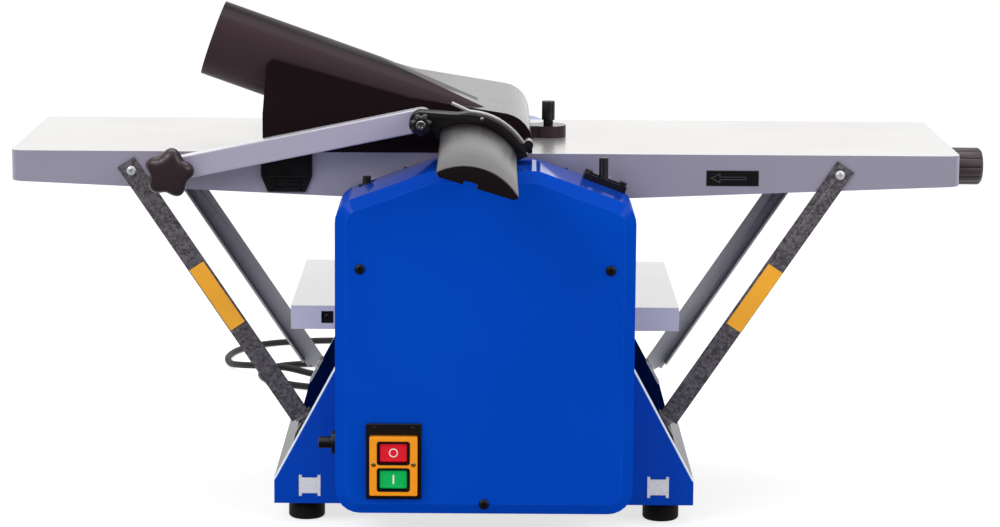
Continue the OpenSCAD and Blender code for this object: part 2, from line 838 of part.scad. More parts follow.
// Grooved pulley between two stations on Y
module pulley(y0, y1, x, z, r) {
  grooves = 5;
  groove_t = 1.2;
  step = (y1 - y0) / (grooves + 1);
  difference() {
    y_rod(y0, y1, x, z, r);
    for (i = [1:grooves]) difference() {
      y_rod(y0 + i * step - groove_t / 2, y0 + i * step + groove_t / 2, x, z, r + cut_over);
      y_rod(y0, y1, x, z, r - groove_t);
    }
  }
}

module drive_belt() {
  color(black) y_prism(-drive_out - pulley_w, -drive_out)
    band([0, cut_z], cutter_pulley_r, [motor_x, motor_z], motor_pulley_r, belt_t);
}

module motor_housing() {
  fins = 9;
  fin_t = 3;
  fin_deep = 4;
  color(dark_grey) difference() {
    union() {
      y_rod(-motor_len / 2, motor_len / 2, motor_x, motor_z, motor_r - fin_deep);
      for (i = [0:fins - 1]) translate([0, (i - (fins - 1) / 2) * motor_len / (fins + 1), 0])
        y_rod(-fin_t / 2, fin_t / 2, motor_x, motor_z, motor_r);
      y_rod(-plate_in, -motor_len / 2, motor_x, motor_z, motor_nose_r);
      slab([motor_x - motor_nose_r, -motor_len / 3, foot_h + sheet_t],
        [motor_x + motor_nose_r, motor_len / 3, motor_z]);
    }
    y_rod(-plate_in - cut_over, motor_len / 3, motor_x, motor_z, motor_shaft_r + run_gap);
  }
}

module motor_shaft() {
  color(steel_grey) {
    y_rod(-drive_out - pulley_w, motor_len / 3 - slide_gap, motor_x, motor_z, motor_shaft_r);
    pulley(-drive_out - pulley_w, -drive_out, motor_x, motor_z, motor_pulley_r);
  }
}

// Feed rollers and their drive

output_z = cut_z - output_drop;
input_z = cut_z - input_drop;

module feed_belt() {
  color(black) y_prism(drive_out, drive_out + feed_pulley_w)
    band([0, cut_z], feed_pulley_r, [0, input_z], gear_pulley_r, belt_t);
}

module feed_gearbox() {
  box_w = 2 * gear_pulley_r;
  box_edge = 2 * output_r;
  color(dark_grey) difference() {
    slab([-box_w / 2, plate_out, input_z - box_edge], [box_w / 2, plate_out + housing_d, output_z + box_edge]);
    for (z = [input_z, output_z])
      y_rod(plate_out + sheet_t, plate_out + housing_d + cut_over, 0, z, output_r + run_gap);
  }
}

module gearbox_pulley() {
  color(dark_grey) {
    y_rod(drive_out, drive_out + feed_pulley_w, 0, input_z, gear_pulley_r);
    y_rod(plate_out + sheet_t + slide_gap, drive_out + cut_over, 0, input_z, output_r);
  }
}

module gearbox_output() {
  color(steel_grey) {
    y_rod(plate_out + sheet_t + slide_gap, chain_b_y + sprocket_w, 0, output_z, output_r);
    for (y = [chain_a_y, chain_b_y]) y_rod(y, y + sprocket_w, 0, output_z, sprocket_r);
  }
}

module feed_chains() {
  color(steel_grey) {
    y_prism(chain_a_y, chain_a_y + sprocket_w)
      band([0, output_z], sprocket_r, [roller_x, roller_z], sprocket_r, chain_t);
    y_prism(chain_b_y, chain_b_y + sprocket_w)
      band([0, output_z], sprocket_r, [-roller_x, roller_z], sprocket_r, chain_t);
  }
}

// Roller at x whose rear journal carries a sprocket at chain_y
module roller(x, chain_y) {
  y_rod(-roller_len / 2, roller_len / 2, x, roller_z, roller_r);
  y_rod(-plate_in + slide_gap, chain_y + sprocket_w, x, roller_z, roller_pin_r);
  y_rod(chain_y, chain_y + sprocket_w, x, roller_z, sprocket_r);
}

// Steel roller with driving flutes cut along it
module infeed_roller() {
  flutes = 16;
  flute_share = 0.09;
  flute_r = roller_r * flute_share;
  color(steel_grey) difference() {
    roller(roller_x, chain_a_y);
    for (i = [0:flutes - 1]) translate([roller_x, 0, roller_z]) rotate([0, i * 360 / flutes, 0])
      y_rod(-roller_len / 2 - cut_over, roller_len / 2 + cut_over, roller_r, 0, flute_r);
  }
}

module outfeed_roller() {
  color(dark_grey) roller(-roller_x, chain_b_y);
}

module roller_blocks() {
  color(brass) both_x() both_y() difference() {
    slab([roller_x - block_w / 2, -plate_in, roller_z - block_h / 2 + roller_sink],
      [roller_x + block_w / 2, -plate_in + block_t, roller_z + block_h / 2]);
    y_rod(-plate_in - cut_over, -plate_in + block_t + cut_over, roller_x, roller_z, roller_pin_r + run_gap);
  }
}

// Thickness table and its lift

lift_arm_z = thick_bot_z - lift_arm_drop;

module thickness_table() {
  thick_plate_t = 9;
  rim = column_inset + column_r + thick_plate_t;
  pocket_w = (thick_len - 3 * thick_plate_t) / 2;
  color(alu_grey) difference() {
    union() {
      slab([-thick_len / 2, -thick_w / 2, thick_bot_z], [thick_len / 2, thick_w / 2, thick_top_z]);
      both_y() {
        slab([spindle_x - lift_arm_w / 2, -thick_w / 2, lift_arm_z],
          [spindle_x + lift_arm_w / 2, -thick_w / 2 + lift_arm_t, thick_bot_z]);
        slab([spindle_x - lift_arm_w / 2, -spindle_y - lift_arm_w / 2, lift_arm_z],
          [spindle_x + lift_arm_w / 2, -thick_w / 2 + lift_arm_t, lift_arm_z + lift_arm_h]);
      }
    }
    for (i = [0, 1]) translate([-thick_len / 2 + thick_plate_t + i * (pocket_w + thick_plate_t), 0, 0])
      slab([0, -thick_w / 2 + rim, thick_bot_z - cut_over],
        [pocket_w, thick_w / 2 - rim, thick_top_z - thick_plate_t]);
    both_x() both_y() z_rod(0, table_top_z, column_x, -column_y, column_r + slide_gap);
    both_y() z_rod(0, thick_bot_z, spindle_x, -spindle_y, nut_r + seat_gap);
    hole_z = thick_bot_z + stop_hole / 2;
    slab([-thick_len / 2 + stop_hole_x, -thick_w / 2 - cut_over, hole_z],
      [-thick_len / 2 + stop_hole_x + stop_hole, -thick_w / 2 + stop_hole / 2, hole_z + stop_hole]);
  }
}

module lift_nuts() {
  color(brass) both_y() difference() {
    z_rod(lift_arm_z, lift_arm_z + lift_arm_h, spindle_x, -spindle_y, nut_r);
    z_rod(lift_arm_z - cut_over, lift_arm_z + lift_arm_h + cut_over, spindle_x, -spindle_y,
      spindle_r + run_gap);
  }
}

// Lift screw with its chain sprocket, standing at y and reaching up to top
module lift_screw(y, top) {
  z_rod(spindle_foot_z, spindle_foot_z + bearing_block_h + slide_gap, spindle_x, y, spindle_foot_r);
  z_rod(spindle_foot_z + bearing_block_h + slide_gap, top, spindle_x, y, spindle_r);
  z_rod(lift_sprocket_z, lift_sprocket_z + lift_sprocket_h, spindle_x, y, lift_sprocket_r);
}

module front_spindle() {
  color(steel_grey) {
    lift_screw(-spindle_y, spindle_tip_z - spindle_tip);
    translate([spindle_x - spindle_tip / 2, -spindle_y - spindle_tip / 2, spindle_tip_z - 2 * spindle_tip])
      cube([spindle_tip, spindle_tip, 2 * spindle_tip]);
  }
}

module rear_spindle() {
  color(steel_grey) lift_screw(spindle_y, screw_drop_z + 2 * post_r);
}

module lift_chain() {
  color(steel_grey) translate([0, 0, lift_sprocket_z]) linear_extrude(lift_sprocket_h)
    band([spindle_x, -spindle_y], lift_sprocket_r, [spindle_x, spindle_y], lift_sprocket_r, chain_t);
}

module guide_columns() {
  color(steel_grey) both_x() both_y()
    z_rod(foot_h + sheet_t, column_top_z, column_x, -column_y, column_r);
}

// Feed lever in its gate on the cover's right shoulder

lever_x = 114;
lever_off = 14;
lever_y = -plate_out - lever_off;
lever_r = 4.5;
lever_top_z = table_top_z;
lever_len = 68;
lever_pivot_z = lever_top_z - lever_len;
lever_hub_r = 9;
lever_hub_w = 10;
gate_len = 43;
gate_w = 20;
gate_h = 6;
gate_boss_r = 6;
gate_boss_h = 9;
lever_slot_share = 0.66;
lever_slot_gap = 2;
lever_slot_w = 2 * (lever_r + lever_slot_gap);
lever_slot_len = gate_len * lever_slot_share;

// Frame on the cover's right shoulder under the lever, +Z out of the slope
module at_gate() {
  gate_z = cover_top_z - (lever_x - cover_flat_w / 2) * tan(cover_slope);
  translate([lever_x, lever_y, gate_z]) rotate([0, cover_slope, 0]) children();
}

module lever_slot(w) {
  at_gate() translate([-lever_slot_len / 2, -w / 2, -2 * cover_wall])
    cube([lever_slot_len, w, 2 * cover_wall + gate_boss_h + cut_over]);
}

module lever_gate() {
  color(black) difference() {
    at_gate() {
      translate([-gate_len / 2, -gate_w / 2, 0]) cube([gate_len, gate_w, gate_h]);
      for (s = [-1, 1]) translate([s * (gate_len / 2 - gate_boss_r), 0, 0])
        cylinder(r = gate_boss_r, h = gate_boss_h);
    }
    lever_slot(lever_slot_w);
  }
}

module feed_lever() {
  color(black) difference() {
    union() {
      z_rod(lever_pivot_z, lever_top_z, lever_x, lever_y, lever_r);
      y_rod(lever_y - lever_hub_w / 2, lever_y + lever_hub_w / 2, lever_x, lever_pivot_z, lever_hub_r);
    }
    y_rod(-cover_d - plate_out, 0, lever_x, lever_pivot_z, lever_pin_r + run_gap);
  }
}

lever_pin_r = 4;

module lever_pin() {
  y_rod(lever_y - lever_hub_w / 2, -plate_out, lever_x, lever_pivot_z, lever_pin_r);
  y_rod(lever_y + lever_hub_w / 2 + slide_gap, -plate_out, lever_x, lever_pivot_z, lever_hub_r);
}

// Switch

switch_z = cover_bottom_z + switch_rise;
switch_plate_t = 3;
switch_frame_t = 8;
switch_frame_w = 46;
switch_frame_h = 58;
switch_frame_drop = 3;
switch_box_w = 40;
switch_box_h = 52;
switch_box_d = 44;
button_step = 26;
button_out = 1.5;
button_gap = 0.6;
switch_mid_z = switch_z - switch_frame_drop;

module switch_well(y0, y1, gap) {
  for (s = [-1, 1])
    slab([-switch_x - button_w / 2 - gap, y0, switch_mid_z + s * button_step / 2 - button_h / 2 - gap],
      [-switch_x + button_w / 2 + gap, y1, switch_mid_z + s * button_step / 2 + button_h / 2 + gap]);
}

module switch_plate() {
  color(black) difference() {
    union() {
      slab([-switch_x - switch_w / 2, cover_face_y - switch_plate_t, switch_z - switch_h / 2],
        [-switch_x + switch_w / 2, cover_face_y, switch_z + switch_h / 2]);
      slab([-switch_x - switch_box_w / 2, cover_face_y, switch_z - switch_box_h / 2],
        [-switch_x + switch_box_w / 2, cover_face_y + switch_box_d, switch_z + switch_box_h / 2]);
    }
    switch_well(cover_face_y - switch_plate_t - cut_over, cover_face_y + switch_box_d / 2, button_gap);
  }
}

module switch_frame() {
  color([0.95, 0.6, 0.08]) difference() {
    back_y = cover_face_y - switch_plate_t;
    slab([-switch_x - switch_frame_w / 2, back_y - switch_frame_t, switch_mid_z - switch_frame_h / 2],
      [-switch_x + switch_frame_w / 2, back_y, switch_mid_z + switch_frame_h / 2]);
    switch_well(back_y - switch_frame_t - cut_over, cover_face_y, button_gap);
  }
}

// Button of the switch, s = 1 for the upper one
module button(s) {
  slab([-switch_x - button_w / 2, cover_face_y - switch_plate_t - switch_frame_t + button_out,
      switch_mid_z + s * button_step / 2 - button_h / 2],
    [-switch_x + button_w / 2, cover_face_y + switch_box_d / 2 - 2 * button_travel,
      switch_mid_z + s * button_step / 2 + button_h / 2]);
}

module stop_button() { color([0.85, 0.1, 0.15]) button(1); }
module start_button() { color([0.02, 0.6, 0.28]) button(-1); }

// Overload breaker on the cover's left side

breaker_y = -plate_out - cover_d / 2;
breaker_rise = 60;
breaker_z = cover_bottom_z + breaker_rise;
breaker_r = 9;
breaker_collar_r = 11.5;
breaker_collar_t = 5;
breaker_len = 24;
breaker_rod_r = 5.75;
breaker_rod_out = 18;
breaker_travel = 3;

module overload_breaker() {
  color(black) difference() {
    union() {
      x_rod(-cover_half - breaker_collar_t, -cover_half, breaker_y, breaker_z, breaker_collar_r);
      x_rod(-cover_half - cut_over, -cover_half + breaker_len, breaker_y, breaker_z, breaker_r);
    }
    x_rod(-cover_half - breaker_len, -cover_half + breaker_len / 2, breaker_y, breaker_z,
      breaker_rod_r + run_gap);
  }
}

module reset_button() {
  color(black) x_rod(-cover_half - breaker_rod_out, -cover_half + breaker_len / 2 - breaker_travel - slide_gap,
    breaker_y, breaker_z, breaker_rod_r);
}

// Cutter guard and its arm

arm_pivot_z = table_top_z - arm_pivot_drop;
stud_r = 4;
bracket_w = 30;
bracket_h = 26;
bracket_d = 10;
arm_back_y = -table_y - bracket_d - slide_gap;
arm_front_y = arm_back_y - arm_t;
arm_rise = asin((arm_tip_h + arm_pivot_drop) / arm_len);
arm_tip = [-arm_pivot_x + arm_len * cos(arm_rise), table_top_z + arm_tip_h];
knob_lobes = 5;
star_h = 24;
star_lobe_share = 0.36;
lobe_top_share = 0.8;
lobe_foot_share = 0.1;
holder_stud_share = 0.7;
small_knob_r = 12;
small_knob_h = 14;
small_lobes = 7;

module guard_bracket() {
  color(black) {
    slab([-arm_pivot_x - bracket_w / 2, -table_y - bracket_d, arm_pivot_z - bracket_h / 2],
      [-arm_pivot_x + bracket_w / 2, -table_y, arm_pivot_z + bracket_h / 2 - arm_pivot_drop / 6]);
    y_rod(arm_front_y - star_h / 2, -table_y + table_wall_t, -arm_pivot_x, arm_pivot_z, stud_r);
  }
}

module guard_arm() {
  color(alu_grey) difference() {
    translate([-arm_pivot_x, arm_front_y, arm_pivot_z]) rotate([0, -arm_rise, 0]) {
      slab([0, 0, -arm_h / 2], [arm_len, arm_t, arm_h / 2]);
      y_rod(0, arm_t, 0, 0, arm_h / 2);
      y_rod(0, arm_t, arm_len, 0, arm_h / 2);
    }
    y_rod(arm_front_y - cut_over, arm_back_y + cut_over, -arm_pivot_x, arm_pivot_z, stud_r + run_gap);
  }
  stud_end_y = holder_front_y - small_knob_h * holder_stud_share;
  color(alu_grey) y_rod(stud_end_y, arm_front_y, arm_tip.x, arm_tip.y, stud_r);
}

// Star knob of radius r facing the front, its seat at y and its bore reaching deep
module star_knob(x, y, z, r, h, lobes, deep) {
  lobe_r = r * star_lobe_share;
  difference() {
    union() {
      y_rod(y - h, y, x, z, r - lobe_r);
      for (i = [0:lobes - 1]) translate([x, 0, z]) rotate([0, i * 360 / lobes, 0])
        y_rod(y - h * lobe_top_share, y - h * lobe_foot_share, r - lobe_r, 0, lobe_r * knob_lobes / lobes);
    }
    y_rod(y - deep, y + cut_over, x, z, stud_r + run_gap);
  }
}

module arm_knob() {
  seat_y = arm_front_y - slide_gap;
  color(black) star_knob(-arm_pivot_x, seat_y, arm_pivot_z, star_r, star_h, knob_lobes, star_h / 2 + slide_gap);
}

module holder_knob() {
  seat_y = holder_front_y - slide_gap;
  color(black) star_knob(arm_tip.x, seat_y, arm_tip.y, small_knob_r, small_knob_h, small_lobes, small_knob_h);
}

// Circle that the guard's arched section follows
guard_r = (guard_chord * guard_chord / 4 + guard_sag * guard_sag) / (2 * guard_sag);
guard_half = asin(guard_chord / 2 / guard_r);
guard_out = 59.8;
guard_crown_drop = 1.5;
guard_crown = arm_tip + [guard_out, -guard_crown_drop];
guard_axis = guard_crown - guard_r * [sin(guard_tilt), cos(guard_tilt)];
guard_back_y = -table_y - bracket_d;
guard_front_y = guard_back_y - guard_len;
holder_t = 8;
holder_d = 26;
holder_lip = 4;
holder_back_y = arm_front_y - slide_gap;
holder_front_y = holder_back_y - holder_d;
holder_over = 7;
holder_web_share = 0.55;
holder_free = 1;

// Place at radius r round the guard's axis, at angle a off the section's middle
function on_guard(r, a) = guard_axis + r * [sin(guard_tilt + a), cos(guard_tilt + a)];

// Slice of a ring round the guard's axis, from angle a0 to a1 off the section's middle
module guard_arc(r0, r1, a0, a1) {
  far = 2 * r1;
  translate(guard_axis) rotate(-guard_tilt) intersection() {
    difference() {
      circle(r = r1);
      circle(r = r0);
    }
    polygon(concat([[0, 0]], [for (i = [0:arc_steps])
      let (a = a0 + (a1 - a0) * i / arc_steps) far * [sin(a), cos(a)]]));
  }
}

// Wall that closes the guard's free end down to its chord, with a finger notch
module guard_end() {
  notch_w = 12;
  notch_h = 4;
  under = guard_r - guard_t;
  low = under * cos(guard_half);
  wide = under * sin(guard_half);
  translate(guard_axis) rotate(-guard_tilt) difference() {
    intersection() {
      circle(r = guard_r - guard_t / 2);
      translate([-wide, low]) square([2 * wide, guard_r]);
    }
    translate([-notch_w, low - cut_over]) square([notch_w, notch_h + cut_over]);
  }
}

module guard() {
  color(black) {
    y_prism(guard_front_y, guard_back_y) guard_arc(guard_r - guard_t, guard_r, -guard_half, guard_half);
    y_prism(guard_front_y, guard_front_y + guard_t) guard_end();
  }
}

module guard_holder() {
  inner = guard_r + slide_gap;
  under = guard_r - guard_t - slide_gap;
  edge = guard_half + holder_free;
  color(black) difference() {
    union() {
      y_prism(holder_front_y, holder_back_y) {
        guard_arc(inner, inner + holder_t, -edge - holder_over, edge + holder_over);
        for (s = [-1, 1]) {
          guard_arc(under - holder_lip, inner + holder_t, s * edge, s * (edge + holder_over));
          guard_arc(under - holder_lip, under, s * (edge - holder_over), s * (edge + holder_over));
        }
        translate(arm_tip) circle(r = arm_h / 2);
        polygon([arm_tip + [0, arm_h / 2], arm_tip - [0, arm_h / 2],
          on_guard(inner + holder_t / 2, -edge), on_guard(inner + holder_t, -edge * holder_web_share)]);
      }
    }
    y_prism(guard_front_y, guard_back_y) guard_arc(under, inner, -edge, edge);
    y_rod(holder_front_y - cut_over, holder_back_y + cut_over, arm_tip.x, arm_tip.y, stud_r + seat_gap);
  }
  color(black) clamp_ears();
}

clamp_t = 2;
clamp_w = 12;
clamp_pivot_a = guard_half;
clamp_tip_a = -14;
clamp_tip_turn = 158;
clamp_tip_len = 20;
clamp_pin_r = 2.5;
clamp_eye_r = 4.5;
clamp_ear_t = 5;
clamp_r = guard_r + holder_t + 3 * slide_gap;
clamp_mid_y = (holder_front_y + holder_back_y) / 2;
clamp_eye = on_guard(clamp_r + clamp_eye_r, clamp_pivot_a);

// Pin and ears on the holder that carry the clamp lever
module clamp_ears() {
  ear_y = clamp_w / 2 + slide_gap;
  y_prism(clamp_mid_y - ear_y - clamp_ear_t, clamp_mid_y + ear_y + clamp_ear_t)
    translate(clamp_eye) circle(r = clamp_pin_r);
  for (s = [-1, 1]) y_prism(clamp_mid_y + s * (ear_y + clamp_ear_t / 2) - clamp_ear_t / 2,
    clamp_mid_y + s * (ear_y + clamp_ear_t / 2) + clamp_ear_t / 2) {
    translate(clamp_eye) circle(r = clamp_eye_r);
    polygon([clamp_eye, on_guard(clamp_r, clamp_pivot_a - clamp_eye_r),
      on_guard(clamp_r - holder_t, clamp_pivot_a - clamp_eye_r),
      on_guard(clamp_r - holder_t, clamp_pivot_a + clamp_eye_r),
      on_guard(clamp_r, clamp_pivot_a + clamp_eye_r)]);
  }
}

// Spring strip over the holder that grips the guard, hinged at its right end
module clamp_lever() {
  color(zinc_grey) y_prism(clamp_mid_y - clamp_w / 2, clamp_mid_y + clamp_w / 2) difference() {
    union() {
      guard_arc(clamp_r, clamp_r + clamp_t, clamp_tip_a, clamp_pivot_a);
      translate(on_guard(clamp_r + clamp_t, clamp_tip_a)) rotate(clamp_tip_turn - guard_tilt - clamp_tip_a)
        translate([-clamp_t / 2, 0]) square([clamp_tip_len, clamp_t]);
      translate(clamp_eye) circle(r = clamp_eye_r);
    }
    translate(clamp_eye) circle(r = clamp_pin_r + run_gap);
  }
}

// Chip hood

hood_seat_z = table_top_z + slide_gap;
hood_nose_r = 30;
hood_crest_r = 8;
hood_edge_r = 1;
hood_bend_r = 40;
hood_lean = 4.5;
skirt_h = 38;
skirt_t = 1.5;
lug_r = 18;
lug_h = 11.5;
lug_w = 28;
thumb_x = 63;
thumb_pin_r = 3.5;
thumb_knob_r = 6.6;
thumb_knob_h = 19;
thumb_neck_r = 5;
thumb_neck_h = 5;
tube_bore_r = tube_r - hood_wall;
socket_step = 1;
socket_len = 45;
tube_long = 310;

// Side profile of the hood, drawn in by inset and running down by below
function hood_profile(inset, below) = rounded([
  [-hood_left + inset, hood_seat_z - below], [hood_right - inset, hood_seat_z - below],
  [hood_right - inset, table_top_z + hood_low - inset], [-hood_bend_x, table_top_z + hood_bend_h - inset],
  [-hood_left + hood_lean + inset, table_top_z + hood_high - inset], [-hood_left + inset, table_top_z + skirt_h]],
  [hood_edge_r, hood_edge_r, hood_nose_r - inset, hood_bend_r, hood_crest_r - inset, hood_edge_r]);

// Rod on the tube's axis, from before its mouth to long behind it
module tube_rod(r, before, long) {
  translate([-tube_mouth_x, -tube_y, table_top_z + tube_mouth_h]) rotate([0, 90 + tube_tilt, 0])
    translate([0, 0, -before]) cylinder(r = r, h = long + before);
}

// Space that the tube may fill: it fades into the roof towards the cutterblock
module tube_room() {
  fade_x = -hood_left / 2;
  fade_z = table_top_z + tube_mouth_h + tube_r / cos(tube_tilt) - (tube_mouth_x + fade_x) * tan(tube_tilt);
  y_prism(-table_y, table_y) polygon([
    [-tube_mouth_x - tube_r, table_top_z + hood_low], [hood_right - hood_nose_r, table_top_z + hood_low],
    [fade_x, fade_z], [-tube_mouth_x - tube_r, table_top_z + tube_mouth_h + 2 * tube_r]]);
}

module chip_hood() {
  color(black) difference() {
    union() {
      y_prism(-table_y + skirt_t, table_y - skirt_t) polygon(hood_profile(0, 0));
      intersection() {
        y_prism(-table_y, table_y) polygon(hood_profile(0, 0));
        slab([-hood_left - cut_over, -table_y - cut_over, hood_seat_z - cut_over],
          [hood_right + cut_over, table_y + cut_over, table_top_z + skirt_h]);
      }
      intersection() {
        tube_rod(tube_r, 0, tube_long);
        tube_room();
      }
      z_rod(hood_seat_z, hood_seat_z + lug_h, thumb_x, 0, lug_r);
      slab([hood_right - hood_wall, -lug_w / 2, hood_seat_z], [thumb_x, lug_w / 2, hood_seat_z + lug_h]);
    }
    y_prism(-table_y + skirt_t + hood_wall, table_y - skirt_t - hood_wall)
      polygon(hood_profile(hood_wall, cut_over));
    intersection() {
      tube_rod(tube_bore_r, cut_over, tube_long);
      translate([0, 0, -hood_wall]) tube_room_open();
    }
    tube_rod(tube_bore_r + socket_step, cut_over, socket_len);
    z_rod(hood_seat_z - cut_over, hood_seat_z + lug_h + cut_over, thumb_x, 0, thumb_pin_r + run_gap);
  }
}

// The tube's room, run out past its mouth
module tube_room_open() {
  tube_room();
  translate([-tube_r, 0, tube_r * tan(tube_tilt)]) tube_room();
}

module hood_clip() {
  clip_w = 50;
  clip_h = 44;
  clip_t = 5;
  clip_shoulder = 28.5;
  clip_foot_w = 37;
  clip_over = 5;
  clip_out = 1.5;
  clip_x = -hood_left - clip_out;
  clip_z = table_top_z + clip_over;
  clip_in = (clip_w - clip_foot_w) / 2;
  color(black) {
    y_prism(-table_y - slide_gap - clip_t, -table_y - slide_gap) translate([clip_x, clip_z]) polygon([
      [0, 0], [clip_w, 0], [clip_w, -clip_shoulder], [clip_w - clip_in, -clip_h],
      [clip_in, -clip_h], [0, -clip_shoulder]]);
    slab([clip_x + clip_out, -table_y - clip_t, hood_seat_z], [clip_x + clip_w, -table_y, clip_z]);
  }
}

module hood_thumb_screw() {
  flats = 14;
  flat_share = 0.1;
  top = hood_seat_z + lug_h;
  color(black) {
    z_rod(table_top_z - table_plate_t, top + thumb_neck_h, thumb_x, 0, thumb_pin_r);
    z_rod(top + slide_gap, top + thumb_neck_h, thumb_x, 0, thumb_neck_r);
    difference() {
      z_rod(top + thumb_neck_h, top + thumb_neck_h + thumb_knob_h, thumb_x, 0, thumb_knob_r);
      for (i = [0:flats - 1]) translate([thumb_x, 0, 0]) rotate([0, 0, i * 360 / flats])
        z_rod(top, top + 2 * thumb_knob_h, thumb_knob_r, 0, thumb_knob_r * flat_share);
    }
  }
}

// Mains lead

cord_r = cord_d / 2;
gland_x = -165;
gland_z = 62;
gland_thread_r = 8;
gland_nut_r = 11;
gland_nut_h = 10;
gland_len = 44;
gland_tip_r = 6;
coil_mid = [32, 290];
coil_gap = 1.6;
coil_pitch = cord_d + coil_gap;
coil_steps = 24;
cord_sides = 8;
coil_sides = 6;
plug_r = 13;
plug_tip_r = 5;
plug_neck_r = 6.5;
plug_len = 42;
plug_sleeve = 36;
plug_pin_r = 2.4;
plug_pin_len = 19;
plug_pin_step = 19;

// Route of the lead's free length, from the gland to the coil
cord_route = [
  [-165, 191, 62], [-165, 215, 61], [-165, 245, 50], [-164, 272, 30], [-162, 300, 12], [-160, 332, 4],
  [-158, 375, 4], [-164, 425, 4], [-190, 468, 4], [-228, 490, 4], [-260, 518, 4], [-270, 560, 4],
  [-252, 600, 4], [-212, 617, 4], [-160, 614, 4], [-112, 600, 4], [-86, 562, 4], [-106, 524, 4],
  [-152, 518, 4], [-198, 532, 7], [-238, 546, 13], [-268, 558, 13], [-296, 582, 9], [-313, 618, 4],
  [-318, 660, 4], [-305, 708, 4], [-270, 745, 4], [-215, 763, 4], [-150, 765, 4], [-92, 745, 4],
  [-55, 702, 4], [-42, 650, 4], [-38, 590, 4], [-34, 530, 4], [-28, 460, 4], [-22, 390, 4],
  [-20, 340, 4], [-20, 298, 4]];

function spline_at(p, i, t) =
  let (n = len(p), a = p[max(i - 1, 0)], b = p[i], c = p[i + 1], d = p[min(i + 2, n - 1)])
  0.5 * (2 * b + (c - a) * t + (2 * a - 5 * b + 4 * c - d) * t * t + (3 * b - a - 3 * c + d) * t * t * t);

function on_floor(p) = [p.x, p.y, max(p.z, cord_r)];

function spline(p, per) = concat(
  [for (i = [0:len(p) - 2], j = [0:per - 1]) on_floor(spline_at(p, i, j / per))], [p[len(p) - 1]]);

// Ring of points round place i of a path, square to the path
function ring(path, i, r, sides) =
  let (n = len(path), along = unit(path[min(i + 1, n - 1)] - path[max(i - 1, 0)]))
  let (side = unit(cross(along, [0, 0, 1])), up = cross(side, along))
  [for (k = [0:sides - 1]) path[i] + r * (cos(k * 360 / sides) * side + sin(k * 360 / sides) * up)];

module swept_tube(path, r, sides) {
  n = len(path);
  pts = [for (i = [0:n - 1]) each ring(path, i, r, sides)];
  walls = [for (i = [0:n - 2], k = [0:sides - 1])
    let (a = i * sides + k, b = i * sides + (k + 1) % sides)
    each [[a, b, a + sides], [b, b + sides, a + sides]]];
  last = (n - 1) * sides;
  caps = [for (k = [1:sides - 2]) each [[0, k + 1, k], [last, last + k, last + k + 1]]];
  polyhedron(points = pts, faces = concat(walls, caps));
}

// Place on the coil after a number of turns: in along the floor, up a layer, and out again on top
function coil_at(turn) =
  let (a = 180 + 360 * turn, inner = coil_r - coil_turns * coil_pitch)
  let (back = turn - coil_turns - 0.5, climb = min(max((turn - coil_turns) * 2, 0), 1))
  let (r = turn < coil_turns ? coil_r - turn * coil_pitch : back < 0 ? inner : inner + back * coil_pitch)
  [coil_mid.x + r * cos(a), coil_mid.y + r * sin(a), cord_r + coil_pitch * climb];

coil_all = 2 * coil_turns + 0.5;
coil_end = coil_at(coil_all);
coil_path = concat(
  [coil_at(0) + [0, cord_d, 0]],
  [for (i = [0:coil_all * coil_steps]) coil_at(i / coil_steps)],
  [coil_end + [0, cord_d, 0]]);

module cord_gland() {
  color(black) translate([gland_x, plate_in - sheet_t, gland_z]) rotate([-90, 0, 0]) rotate_extrude() polygon([
    [cord_r, 0], [gland_thread_r, 0], [gland_thread_r, 2 * sheet_t], [gland_nut_r, 2 * sheet_t],
    [gland_nut_r, 2 * sheet_t + gland_nut_h], [gland_thread_r, 2 * sheet_t + gland_nut_h],
    [gland_tip_r, 2 * sheet_t + gland_len], [cord_r, 2 * sheet_t + gland_len]]);
}

module cord() { color(black) swept_tube(spline(cord_route, 2), cord_r, cord_sides); }
module cord_coil() { color(black) swept_tube(coil_path, cord_r, coil_sides); }

module plug() {
  color(black) translate(coil_end + [0, cord_d, 0]) rotate([-90, 0, 0]) {
    rotate_extrude() polygon([
      [0, 0], [plug_tip_r, 0], [plug_neck_r, plug_sleeve], [plug_r, plug_sleeve],
      [plug_r, plug_sleeve + plug_len], [0, plug_sleeve + plug_len]]);
    for (s = [-1, 1]) translate([s * plug_pin_step / 2, 0, plug_sleeve + plug_len - cut_over])
      cylinder(r = plug_pin_r, h = plug_pin_len + cut_over);
  }
}

base_pan();
rubber_feet();
front_plate();
rear_plate();
drive_cover();
rear_cover();
cover_screws();
outfeed_table();
infeed_table();
feed_arrow_plate();
depth_knob();
front_outfeed_strut();
rear_outfeed_strut();
front_infeed_strut();
rear_infeed_strut();
fixed_strut_screws();
infeed_strut_screws();
bearing_housings();
cutter_bearings();
cutterblock();
planer_knives();
drive_belt();
motor_housing();
motor_shaft();
feed_belt();
feed_gearbox();
gearbox_pulley();
gearbox_output();
feed_chains();
infeed_roller();
outfeed_roller();
roller_blocks();
thickness_table();
lift_nuts();
front_spindle();
rear_spindle();
lift_chain();
guide_columns();
lever_gate();
feed_lever();
switch_plate();
switch_frame();
stop_button();
start_button();
overload_breaker();
reset_button();
guard_bracket();
guard_arm();
arm_knob();
guard_holder();
holder_knob();
clamp_lever();
guard();
chip_hood();
hood_clip();
hood_thumb_screw();
cord_gland();
cord();
cord_coil();
plug();
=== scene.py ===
import bpy
import bmesh
import json
import math
from mathutils import Matrix, Vector


